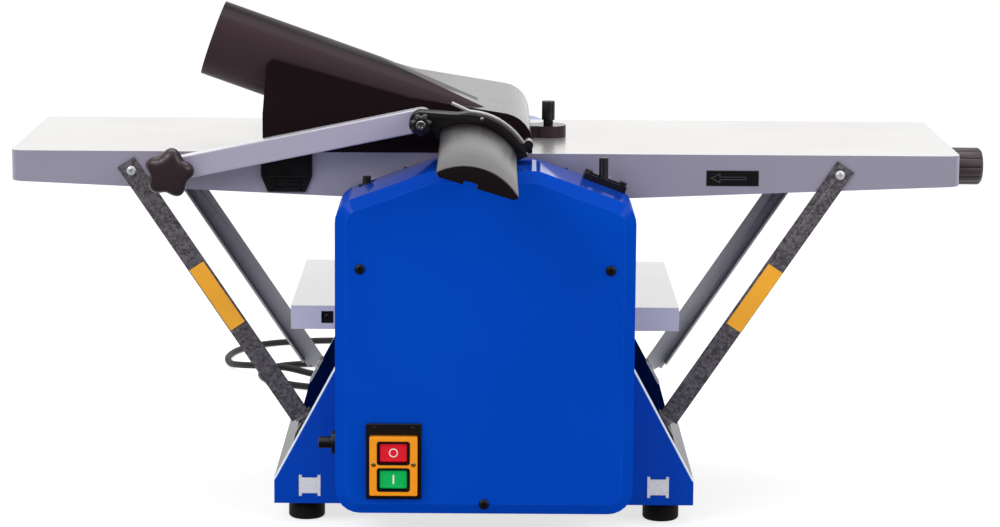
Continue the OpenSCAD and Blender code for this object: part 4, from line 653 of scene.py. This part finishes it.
def lobedMesh(name, rings, sides, place, lobes=0, valley=0.0, phase=0.0, power=1.0):
    # rings: radius, height, share of the lobing
    bm = bmesh.new()
    loops = []
    for radius, height, share in rings:
        if radius < 1e-6:
            loops.append([bm.verts.new((0, 0, height))])
            continue
        loop = []
        for k in range(sides):
            angle = 2 * math.pi * k / sides
            wave = (0.5 + 0.5 * math.cos(lobes * (angle - math.radians(phase)))) ** power if lobes else 1.0
            reach = radius * (1 - share * valley * (1 - wave))
            loop.append(bm.verts.new((reach * math.cos(angle), reach * math.sin(angle), height)))
        loops.append(loop)
    for low, high in zip(loops, loops[1:]):
        for k in range(sides):
            n = (k + 1) % sides
            corners = [low[k % len(low)], low[n % len(low)], high[n % len(high)], high[k % len(high)]]
            bm.faces.new(list(dict.fromkeys(corners)))
    bm.transform(place)
    return meshFrom(bm, name, shadeAngle["turned"])


def lobedPiece(name, look, rings, place):
    return addObject(name, lobedMesh(name, rings, look["sides"], place, look["lobes"], look["valley"],
                                     look["phase"], look["power"]))


def plainRings(pairs):
    return [(radius / 1000, height / 1000, 0.0) for radius, height in pairs]


def boxMiddle(node):
    low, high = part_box(node)
    return (Vector(low) + Vector(high)) / 2, Vector(high) - Vector(low)


# large star knob of the guard arm, and the small one of its holder
starKnob = {
    "middle": (-305, 353), "back": -164.6, "lobes": 5, "valley": 0.21, "phase": 8.0, "power": 0.9, "sides": 120,
    "rings": [(0, 0, 0), (8.5, 0, 0), (9.5, 3, 0), (10.5, 8, 0), (18, 9.4, 0.7), (22.4, 10.6, 1), (24.1, 12.6, 1),
              (24.5, 15, 1), (23.8, 18, 1), (21.6, 20.8, 1), (18, 22.7, 0.95), (12, 23.6, 0.75), (6, 23.9, 0.3),
              (0, 24, 0)],
}
smallKnob = {
    "lobes": 7, "valley": 0.24, "phase": 13.0, "power": 0.8, "sides": 112, "insertSides": 40,
    "rings": [(0, 0, 0), (6, 0, 0), (8, 1.2, 0.4), (10.2, 2.4, 1), (11, 4.4, 1), (11.2, 7.6, 1), (10.6, 10.2, 1),
              (9, 11.8, 0.8), (6.4, 12.4, 0.3), (5, 12.4, 0), (4.6, 11.2, 0), (0, 11.2, 0)],
    "insert": [(0, 11.1), (4.4, 11.1), (4.4, 12.9), (4.0, 13.3), (2.6, 13.3), (2.3, 12.8), (2.3, 11.6), (0, 11.6)],
}


def knobRings(look):
    return [(radius / 1000, height / 1000, share) for radius, height, share in look["rings"]]


place = aimed((0, -1, 0), Vector((starKnob["middle"][0], starKnob["back"], starKnob["middle"][1])) / 1000)
knob = lobedPiece("starKnob", starKnob, knobRings(starKnob), place)
dressAs(knob, "knob_brown", "arm_knob")

middle, size = boxMiddle("holder_knob")
place = aimed((0, -1, 0), (middle.x, middle.y + size.y / 2, middle.z))
knob = lobedPiece("smallKnob", smallKnob, knobRings(smallKnob), place)
dressAs(knob, "black_plastic", "holder_knob")
insertMesh = lobedMesh("smallKnobInsert", plainRings(smallKnob["insert"]), smallKnob["insertSides"], place)
insert = addObject("smallKnobInsert", insertMesh)
dress(insert, finish["bright_steel"], bodyOf["holder_knob"])

# depth knob: a chamfered cap with a few long grooves, on its threaded shank
# end and seat: distance in from the rim, distance from the end or the table, share of the grooves
depthKnob = {
    "lobes": 12, "valley": 0.085, "phase": 12.0, "power": 0.14, "sides": 240, "tableEnd": 466.0,
    "end": [(5.5, 0, 0), (3.5, 0.5, 0.3), (0.7, 2.8, 1), (0, 4.5, 1)],
    "seat": [(0, 6, 1), (1.2, 3, 1), (4, 2, 0.3)],
    "collar": [(9, 2, 0), (8.5, 0.8, 0), (5.5, 0.4, 0)],
    "shankR": 5.5,
}
middle, size = boxMiddle("depth_knob")
rimR, tableEnd = size.z / 2 * 1000, depthKnob["tableEnd"]
start, stop = ((middle.x + share * size.x / 2) * 1000 - tableEnd for share in (-1, 1))
capRings = [(0, stop, 0)]
capRings += [(rimR - inset, stop - back, share) for inset, back, share in depthKnob["end"]]
capRings += [(rimR - inset, height, share) for inset, height, share in depthKnob["seat"]]
capRings += depthKnob["collar"] + [(depthKnob["shankR"], start, 0), (0, start, 0)]
knob = lobedPiece("depthKnob", depthKnob, knobRings({"rings": capRings}),
                  aimed((1, 0, 0), (tableEnd / 1000, middle.y, middle.z)))
dressAs(knob, "grey_plastic", "depth_knob")
print("knobs turned")

# cross-head screws: one head, spread over points that carry their own direction
headLook = {"dome": [(0, -1.2), (0.5, -1.2), (0.5, 0), (1, 0), (1, 0.22), (0.93, 0.34), (0.76, 0.44), (0.5, 0.51),
                     (0.25, 0.545), (0, 0.55)],
            "armLong": 0.62, "armWide": 0.17, "deep": 0.38, "over": 0.3, "deepLong": 0.6, "deepWide": 0.65,
            "sides": 36, "mostSpin": 1.5}


def crossHead():
    rings = [(radius, height, 0.0) for radius, height in headLook["dome"]]
    head = addObject("crossHead", lobedMesh("crossHead", rings, headLook["sides"], Matrix()))
    bm = bmesh.new()
    top = headLook["dome"][-1][1]
    for angle in (0, 90):
        arm = bmesh.ops.create_cube(bm, size=2.0)["verts"]
        for vert in arm:
            deepEnd = vert.co.z < 0
            vert.co.x *= headLook["armLong"] * (headLook["deepLong"] if deepEnd else 1)
            vert.co.y *= headLook["armWide"] * (headLook["deepWide"] if deepEnd else 1)
            vert.co.z = top - headLook["deep"] if deepEnd else top + headLook["over"]
        bmesh.ops.rotate(bm, verts=arm, matrix=Matrix.Rotation(math.radians(angle), 3, "Z"), cent=(0, 0, 0))
    cross = bpy.data.meshes.new("crossCut")
    bm.to_mesh(cross)
    bm.free()
    cutter = addObject("crossCut", cross)
    mod = head.modifiers.new("cross", "BOOLEAN")
    mod.operation = "DIFFERENCE"
    mod.solver = "EXACT"
    mod.use_self = True
    mod.object = cutter
    settle(head)
    bpy.data.objects.remove(cutter)
    smoothBy(head.data, shadeAngle["screw"])
    scene.collection.objects.unlink(head)
    return head


screwHead = crossHead()
screwTree = bpy.data.node_groups.new("screwSpread", "GeometryNodeTree")
for label, kind in (("Geometry", "NodeSocketGeometry"), ("Head", "NodeSocketObject"),
                    ("Radius", "NodeSocketFloat"), ("Seed", "NodeSocketInt"), ("Finish", "NodeSocketMaterial")):
    screwTree.interface.new_socket(label, in_out="INPUT", socket_type=kind)
screwTree.interface.new_socket("Geometry", in_out="OUTPUT", socket_type="NodeSocketGeometry")
inp, out = addNode(screwTree, "NodeGroupInput"), addNode(screwTree, "NodeGroupOutput")
aim = addNode(screwTree, "GeometryNodeInputNamedAttribute", data_type="FLOAT_VECTOR")
aim.inputs["Name"].default_value = "aim"
point = addNode(screwTree, "FunctionNodeAlignRotationToVector", axis="Z")
spin = addNode(screwTree, "FunctionNodeRandomValue", data_type="FLOAT")
spin.inputs[2].default_value, spin.inputs[3].default_value = 0.0, headLook["mostSpin"]
twist = addNode(screwTree, "FunctionNodeAxisAngleToRotation")
both = addNode(screwTree, "FunctionNodeRotateRotation", rotation_space="LOCAL")
info = addNode(screwTree, "GeometryNodeObjectInfo")
place = addNode(screwTree, "GeometryNodeInstanceOnPoints")
real = addNode(screwTree, "GeometryNodeRealizeInstances")
paint = addNode(screwTree, "GeometryNodeSetMaterial")
for first, second in (
        (aim.outputs["Attribute"], point.inputs["Vector"]), (inp.outputs["Seed"], spin.inputs["Seed"]),
        (spin.outputs[1], twist.inputs["Angle"]), (point.outputs[0], both.inputs["Rotation"]),
        (twist.outputs[0], both.inputs["Rotate By"]), (inp.outputs["Head"], info.inputs["Object"]),
        (inp.outputs["Geometry"], place.inputs["Points"]), (info.outputs["Geometry"], place.inputs["Instance"]),
        (both.outputs[0], place.inputs["Rotation"]), (inp.outputs["Radius"], place.inputs["Scale"]),
        (place.outputs[0], real.inputs[0]), (real.outputs[0], paint.inputs["Geometry"]),
        (inp.outputs["Finish"], paint.inputs["Material"]), (paint.outputs[0], out.inputs[0])):
    screwTree.links.new(first, second)


def spreadScrews(name, points, radius, material, body, stands=(), seed=3):
    # points: place and direction, in millimetres
    mesh = bpy.data.meshes.new(name)
    mesh.from_pydata([Vector(place) / 1000 for place, direction in points], [], [])
    field = mesh.attributes.new("aim", "FLOAT_VECTOR", "POINT")
    for i, (place, direction) in enumerate(points):
        field.data[i].vector = direction
    obj = addObject(name, mesh)
    mod = obj.modifiers.new("screws", "NODES")
    mod.node_group = screwTree
    values = {"Head": screwHead, "Radius": radius / 1000, "Seed": seed, "Finish": finish[material]}
    for item in screwTree.interface.items_tree:
        if item.in_out == "INPUT" and item.name in values:
            mod[item.identifier] = values[item.name]
    settle(obj)
    smoothBy(obj.data, shadeAngle["screw"])
    return dress(obj, finish[material], body, stands)


ahead, astern = (0, -1, 0), (0, 1, 0)
footAim = (0.8808, 0.4734)
screwSets = {
    "coverScrewHeads": {
        "points": [((x, y, z), aim) for y, aim in ((-243, ahead), (201, astern))
                   for x, z in ((-119, 271), (119, 271), (0, 43))],
        "radius": 4.9, "material": "black_steel", "stands": ("cover_screws",)},
    "outfeedStrutHeads": {
        "points": [((-346, -137, 349), ahead), ((-346, 137, 349), astern)]
        + [((x * 178.6, y * 126, 102.9), (x * footAim[0], 0, footAim[1])) for x in (-1, 1) for y in (-1, 1)],
        "radius": 4.6, "material": "pale_screw", "stands": ("fixed_strut_screws",)},
    "infeedStrutHeads": {
        "points": [((346, -137.3, 349), ahead), ((346, 137.3, 349), astern)],
        "radius": 4.6, "material": "pale_screw", "stands": ("infeed_strut_screws",)},
    "frameScrewHeads": {
        "points": [((-105.4, -253.6, 84), ahead), ((-67.4, -253.6, 84), ahead)],
        "radius": 2.3, "material": "bronze", "rides": "machine"},
    "plateScrewHeads": {
        "points": [((-105.2, -246, 117.3), ahead), ((-68.0, -246, 117.3), ahead)],
        "radius": 2.2, "material": "black_steel", "rides": "machine"},
    "holderScrewHead": {
        "points": [((-4.1, -190.6, 408.4), ahead)],
        "radius": 1.7, "material": "bright_steel", "rides": bodyOf["guard_holder"]},
}
for name, look in screwSets.items():
    stands = look.get("stands", ())
    body = bodyOf[stands[0]] if stands else look["rides"]
    spreadScrews(name, look["points"], look["radius"], look["material"], body, stands)
print("screw heads:", sum(len(look["points"]) for look in screwSets.values()))


# small built-up pieces: outlines in the upright plane, drawn out along Y

def blocksMesh(name, blocks, place=Matrix()):
    # blocks: outline of (x, z), nearest y, farthest y, in millimetres
    bm = bmesh.new()
    for outline, near, far in blocks:
        front = [bm.verts.new((x / 1000, near / 1000, z / 1000)) for x, z in outline]
        back = [bm.verts.new((x / 1000, far / 1000, z / 1000)) for x, z in outline]
        bm.faces.new(front)
        bm.faces.new(back[::-1])
        for k in range(len(outline)):
            n = (k + 1) % len(outline)
            bm.faces.new((front[k], back[k], back[n], front[n]))
    bm.transform(place)
    return meshFrom(bm, name)


blockAngle = 25


def softBlocks(name, blocks, radius, segments=2, place=Matrix()):
    obj = addObject(name, blocksMesh(name, blocks, place))
    breakEdges(obj, radius / 1000, segments, blockAngle)
    levelNormals(obj, shadeAngle["flat"])
    return obj


def rectangle(x0, z0, x1, z1):
    return [(x0, z0), (x1, z0), (x1, z1), (x0, z1)]


def roundedOutline(midX, midZ, wide, tall, radius, steps=6):
    points = []
    for cx, cz, start in ((1, 1, 0), (-1, 1, 90), (-1, -1, 180), (1, -1, 270)):
        for k in range(steps + 1):
            angle = math.radians(start + 90 * k / steps)
            points.append((midX + cx * (wide / 2 - radius) + radius * math.cos(angle),
                           midZ + cz * (tall / 2 - radius) + radius * math.sin(angle)))
    return points


def ringMesh(name, outer, inner, near, far):
    # flat ring between two outlines with the same count of points
    bm = bmesh.new()
    loops = []
    for outline, y in ((outer, far), (outer, near), (inner, near), (inner, far)):
        loops.append([bm.verts.new((x / 1000, y / 1000, z / 1000)) for x, z in outline])
    for first, second in zip(loops, loops[1:] + loops[:1]):
        joinLoops(bm, first, second)
    return meshFrom(bm, name, shadeAngle["flat"])


# switch: dished buttons in black surrounds, with their O and I
# rows: inset, depth behind the button's front, corner radius
switchLook = {"rows": [(0, 1.4, 1.6), (0.35, 0.5, 1.5), (1.1, 0, 1.3), (2.7, 0.15, 1.0), (3.2, 0.6, 0.8)],
              "backR": 1.6, "gap": 0.6, "gapR": 1.8, "surround": 1.7, "surroundR": 2.6, "surroundOut": 0.35,
              "surroundDeep": 6, "ringR": 4.3, "ringLine": 1.0, "ringSteps": 12, "barTall": 9.0, "barWide": 1.6,
              "barR": 0.5, "markUp": 0.12, "markSunk": 0.2}


def buttonMesh(name, low, high, outlineAt):
    bm = bmesh.new()
    profile = [(0, high.y, switchLook["backR"])]
    profile += [(inset, low.y + depth, radius) for inset, depth, radius in switchLook["rows"]]
    rows = []
    for inset, y, radius in profile:
        rows.append([bm.verts.new((x / 1000, y / 1000, z / 1000)) for x, z in outlineAt(-inset, radius)])
    for first, second in zip(rows, rows[1:]):
        joinLoops(bm, first, second)
    bm.faces.new(rows[0])
    bm.faces.new(rows[-1])
    return meshFrom(bm, name, shadeAngle["flat"])


def roundOutline(midX, midZ, radius):
    return roundedOutline(midX, midZ, 2 * radius, 2 * radius, radius, switchLook["ringSteps"])


for node, colour, mark in (("stop_button", "red_plastic", "O"), ("start_button", "green_plastic", "I")):
    low, high = (Vector(c) * 1000 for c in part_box(node))
    midX, midZ = (low.x + high.x) / 2, (low.z + high.z) / 2

    def around(grow, radius):
        return roundedOutline(midX, midZ, high.x - low.x + 2 * grow, high.z - low.z + 2 * grow, radius)

    button = addObject("switchButton." + node, buttonMesh("switchButton." + node, low, high, around))
    dressAs(button, colour, node)
    face = low.y + switchLook["rows"][-1][1]
    near, far = face - switchLook["markUp"], face + switchLook["markSunk"]
    if mark == "O":
        outer = roundOutline(midX, midZ, switchLook["ringR"])
        inner = roundOutline(midX, midZ, switchLook["ringR"] - switchLook["ringLine"])
        markMesh = ringMesh("stopMark", outer, inner, near, far)
    else:
        bar = roundedOutline(midX, midZ, switchLook["barWide"], switchLook["barTall"], switchLook["barR"])
        markMesh = blocksMesh("startMark", [(bar, near, far)])
    dress(addObject("switchMark." + node, markMesh), finish["white_mark"], bodyOf[node])
    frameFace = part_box("switch_frame")[0][1] * 1000
    inner = around(switchLook["gap"], switchLook["gapR"])
    outer = around(switchLook["gap"] + switchLook["surround"], switchLook["surroundR"])
    ring = ringMesh("switchSurround." + node, outer, inner, frameFace - switchLook["surroundOut"],
                    frameFace + switchLook["surroundDeep"])
    dress(addObject("switchSurround." + node, ring), finish["black_plastic"], "machine")
print("switch made")

# lock tabs that fill the side plates' openings
tabLook = {"x": 172.5, "z": 37.0, "wide": 21.6, "tall": 16.1, "slotWide": 3.1, "slotTall": 21.6, "near": 145.0,
           "far": 146.5, "edge": 0.35}
blocks = []
for side in (-1, 1):
    for x in (-tabLook["x"], tabLook["x"]):
        ends = sorted((side * tabLook["near"], side * tabLook["far"]))
        w, t, s, h = (tabLook[key] / 2 for key in ("wide", "tall", "slotWide", "slotTall"))
        z = tabLook["z"]
        outline = [(x - w, z - h), (x - w + 2 * s, z - h), (x - w + 2 * s, z - t), (x + w - 2 * s, z - t),
                   (x + w - 2 * s, z - h), (x + w, z - h), (x + w, z + h), (x + w - 2 * s, z + h),
                   (x + w - 2 * s, z + t), (x - w + 2 * s, z + t), (x - w + 2 * s, z + h), (x - w, z + h)]
        blocks.append((outline, *ends))
tabs = softBlocks("lockTabs", blocks, tabLook["edge"])
dress(tabs, finish["tab_zinc"], "machine")

# plain film strips on the front struts
stripLook = {"long": 72.0, "wide": 16.6, "thick": 0.25, "corner": 0.8, "edge": 0.08, "slope": 55.9,
             "middles": {"front_outfeed_strut": (-263.4, -137.0, 225.1),
                         "front_infeed_strut": (264.8, -137.3, 226.4)}}
outline = roundedOutline(0, 0, stripLook["long"], stripLook["wide"], stripLook["corner"])
for node, middle in stripLook["middles"].items():
    slope = math.radians(math.copysign(stripLook["slope"], -middle[0]))
    place = Matrix.Translation(Vector(middle) / 1000) @ Matrix.Rotation(slope, 4, "Y")
    strip = softBlocks("film." + node, [(outline, -stripLook["thick"], 0.0)], stripLook["edge"], 1, place)
    dress(strip, finish["amber_film"], bodyOf[node])
print("tabs and strips")

# dark fill that leaves only the arrow's outline on the feed plate
fillLook = {"line": 0.55, "head": 9.3, "tip": 21.42, "tail": 25.5, "sunk": 0.1, "edge": 0.1}
middle, size = boxMiddle("feed_arrow_plate")
x, z = middle.x * 1000, middle.z * 1000
tip, line = x - fillLook["tip"], fillLook["line"]
neck, stop = tip + fillLook["head"] - line, tip + fillLook["head"] + fillLook["tail"] - line
nose = tip + line * math.sqrt(5)
wing, rib = (neck - nose) / 2, fillLook["head"] / 6 - line
outline = [(nose, z), (neck, z - wing), (neck, z - rib), (stop, z - rib), (stop, z + rib), (neck, z + rib),
           (neck, z + wing)]
near = (middle.y - size.y / 2) * 1000 + fillLook["sunk"]
fill = softBlocks("arrowFill", [(outline, near, (middle.y + size.y / 2) * 1000)], fillLook["edge"], 1)
dress(fill, finish["black_plastic"], bodyOf["feed_arrow_plate"])

# black plug with a stop screw in the square hole of the thickness table's front
plugLook = {"x": -155.0, "z": 204.0, "wide": 11.7, "near": -133.2, "far": -130.0, "corner": 0.8,
            "edge": 0.4, "screwR": 3.6}
x, z = plugLook["x"], plugLook["z"]
outline = roundedOutline(x, z, plugLook["wide"], plugLook["wide"], plugLook["corner"])
plug = softBlocks("stopPlug", [(outline, plugLook["near"], plugLook["far"])], plugLook["edge"])
dress(plug, finish["black_plastic"], bodyOf["thickness_table"])
spreadScrews("stopScrewHead", [((x, plugLook["near"], z), ahead)], plugLook["screwR"], "black_steel",
             bodyOf["thickness_table"])

# front clip of the hood: body with rails and a rib, and the framed press tab under them
# bars: left, low, right and high from the middle of the ledge, and how far they stand out
clipLook = {
    "x": -194.5, "top": 373.0, "wide": 50.0, "foot": 37.0, "shoulder": 28.5, "tall": 44.0, "back": -135.3,
    "skin": 2.6, "under": 2.4, "edge": 0.5,
    "bars": {
        "leftRail": (-25, 0, -22.8, 28.5, 4.8), "rightRail": (22.8, 0, 25, 28.5, 4.8),
        "rib": (-1.4, 1.5, 1.4, 28.5, 4.4), "sill": (-24, -1.6, 24, 0.6, 5.0),
        "frameLeft": (-13.5, -14, -11.5, -3.4, 4.6), "frameRight": (11.5, -14, 13.5, -3.4, 4.6),
        "frameTop": (-13.5, -5.2, 13.5, -3.2, 4.6), "frameFoot": (-13.5, -14, 13.5, -12, 4.6),
        "pad": (-9.5, -10.3, 9.5, -7.0, 3.8)},
    "mark": (-4.5, -7.1, 1.5, -5.9, 4.4), "markUnder": 3.6,
}
half, foot = clipLook["wide"] / 2, clipLook["foot"] / 2
x, top, back = clipLook["x"], clipLook["top"], clipLook["back"]
ledge, low = top - clipLook["shoulder"], top - clipLook["tall"]
body = [(x + half, top), (x + half, ledge), (x + foot, low), (x - foot, low), (x - half, ledge),
        (x - half, top)]
blocks = [(body, back - clipLook["skin"], back)]
bars = [(bar, clipLook["under"]) for bar in clipLook["bars"].values()]
for (x0, z0, x1, z1, proud), under in bars + [(clipLook["mark"], clipLook["markUnder"])]:
    blocks.append((rectangle(x + x0, ledge + z0, x + x1, ledge + z1), back - proud, back - under))
clip = softBlocks("hoodClip", blocks, clipLook["edge"])
dressAs(clip, "black_plastic", "hood_clip")
print("clip made")

# floor, backdrop and light
studio = {
    "world": 0.5, "floorHalf": 30, "floorDrop": 0.0005, "floorGlow": 0.72, "floorTone": 0.55, "litTone": 0.8,
    "frontTone": 0.03, "frontFrom": -0.20, "frontTo": 0.05, "frontSky": 0.04, "skyFrom": -0.35, "skyTo": 0.45,
}
lamps = {
    "keyBox": {"place": (-1.6, -2.2, 2.0), "target": (0, 0, 0.25), "size": (1.6, 1.2), "power": 34.0},
    "fillBox": {"place": (1.9, -2.0, 1.5), "target": (0, 0, 0.25), "size": (1.4, 1.2), "power": 18.0},
    "topBox": {"place": (0, 0.2, 2.4), "target": (0, 0, 0.3), "size": (2.2, 1.4), "power": 26.0},
}
scene.view_settings.view_transform = "Standard"
floorMesh = bpy.data.meshes.new("floor")
wide = studio["floorHalf"]
floorMesh.from_pydata([(x, z, 0) for x, z in rectangle(-wide, -wide, wide, wide)], [], [(0, 1, 2, 3)])
floor = addObject("floor", floorMesh)
floor.location.z = -studio["floorDrop"]


def mixShaders(tree, factor, first, second):
    node = addNode(tree, "ShaderNodeMixShader")
    tree.links.new(factor, node.inputs[0])
    tree.links.new(first, node.inputs[1])
    tree.links.new(second, node.inputs[2])
    return node.outputs[0]


def sortRays(tree, end, bounced, direct, mirrored):
    path = addNode(tree, "ShaderNodeLightPath").outputs
    straight = mathNode(tree, "MAXIMUM", path["Is Camera Ray"], path["Is Transmission Ray"])
    seen = mixShaders(tree, straight, bounced, direct)
    tree.links.new(mixShaders(tree, path["Is Glossy Ray"], seen, mirrored), end.inputs[0])


def plainDiffuse(tree, tone):
    node = addNode(tree, "ShaderNodeBsdfDiffuse")
    node.inputs["Color"].default_value = (tone, tone, tone, 1.0)
    return node.outputs[0]


# white to the eye and in reflections, with the room in front of the machine left dark
floorMat = bpy.data.materials.new("paleFloor")
tree, end = blankTree(floorMat, "ShaderNodeOutputMaterial")
glow = addNode(tree, "ShaderNodeEmission")
glow.inputs["Strength"].default_value = studio["floorGlow"]
lit = addNode(tree, "ShaderNodeAddShader")
tree.links.new(plainDiffuse(tree, studio["floorTone"]), lit.inputs[0])
tree.links.new(glow.outputs[0], lit.inputs[1])
split = addNode(tree, "ShaderNodeSeparateXYZ")
tree.links.new(addNode(tree, "ShaderNodeNewGeometry").outputs["Position"], split.inputs[0])
behind = spread(tree, split.outputs[1], 0.0, 1.0, studio["frontFrom"], studio["frontTo"])
mirrored = mixShaders(tree, behind, plainDiffuse(tree, studio["frontTone"]), lit.outputs[0])
sortRays(tree, end, plainDiffuse(tree, studio["litTone"]), lit.outputs[0], mirrored)
floorMesh.materials.append(floorMat)

world = bpy.data.worlds.new("studio")
scene.world = world
tree, end = blankTree(world, "ShaderNodeOutputWorld")
axes = axesOf(tree, "Generated")


def skyOf(strength):
    node = addNode(tree, "ShaderNodeBackground")
    node.inputs["Color"].default_value = (1.0, 1.0, 1.0, 1.0)
    feed(tree, strength, node.inputs["Strength"])
    return node.outputs[0]


high = mathNode(tree, "ADD", axes[1], axes[2])
mirrored = skyOf(spread(tree, high, studio["frontSky"], 1.0, studio["skyFrom"], studio["skyTo"]))
sortRays(tree, end, skyOf(studio["world"]), skyOf(1.0), mirrored)


def softBox(name, place, target, size, power):
    data = bpy.data.lights.new(name, "AREA")
    data.shape = "RECTANGLE"
    data.size, data.size_y = size
    data.energy = power
    lamp = bpy.data.objects.new(name, data)
    scene.collection.objects.link(lamp)
    aim = (Vector(target) - Vector(place)).to_track_quat("-Z", "Y").to_matrix().to_4x4()
    lamp.matrix_world = Matrix.Translation(place) @ aim


for name, look in lamps.items():
    softBox(name, **look)
print("studio lit")
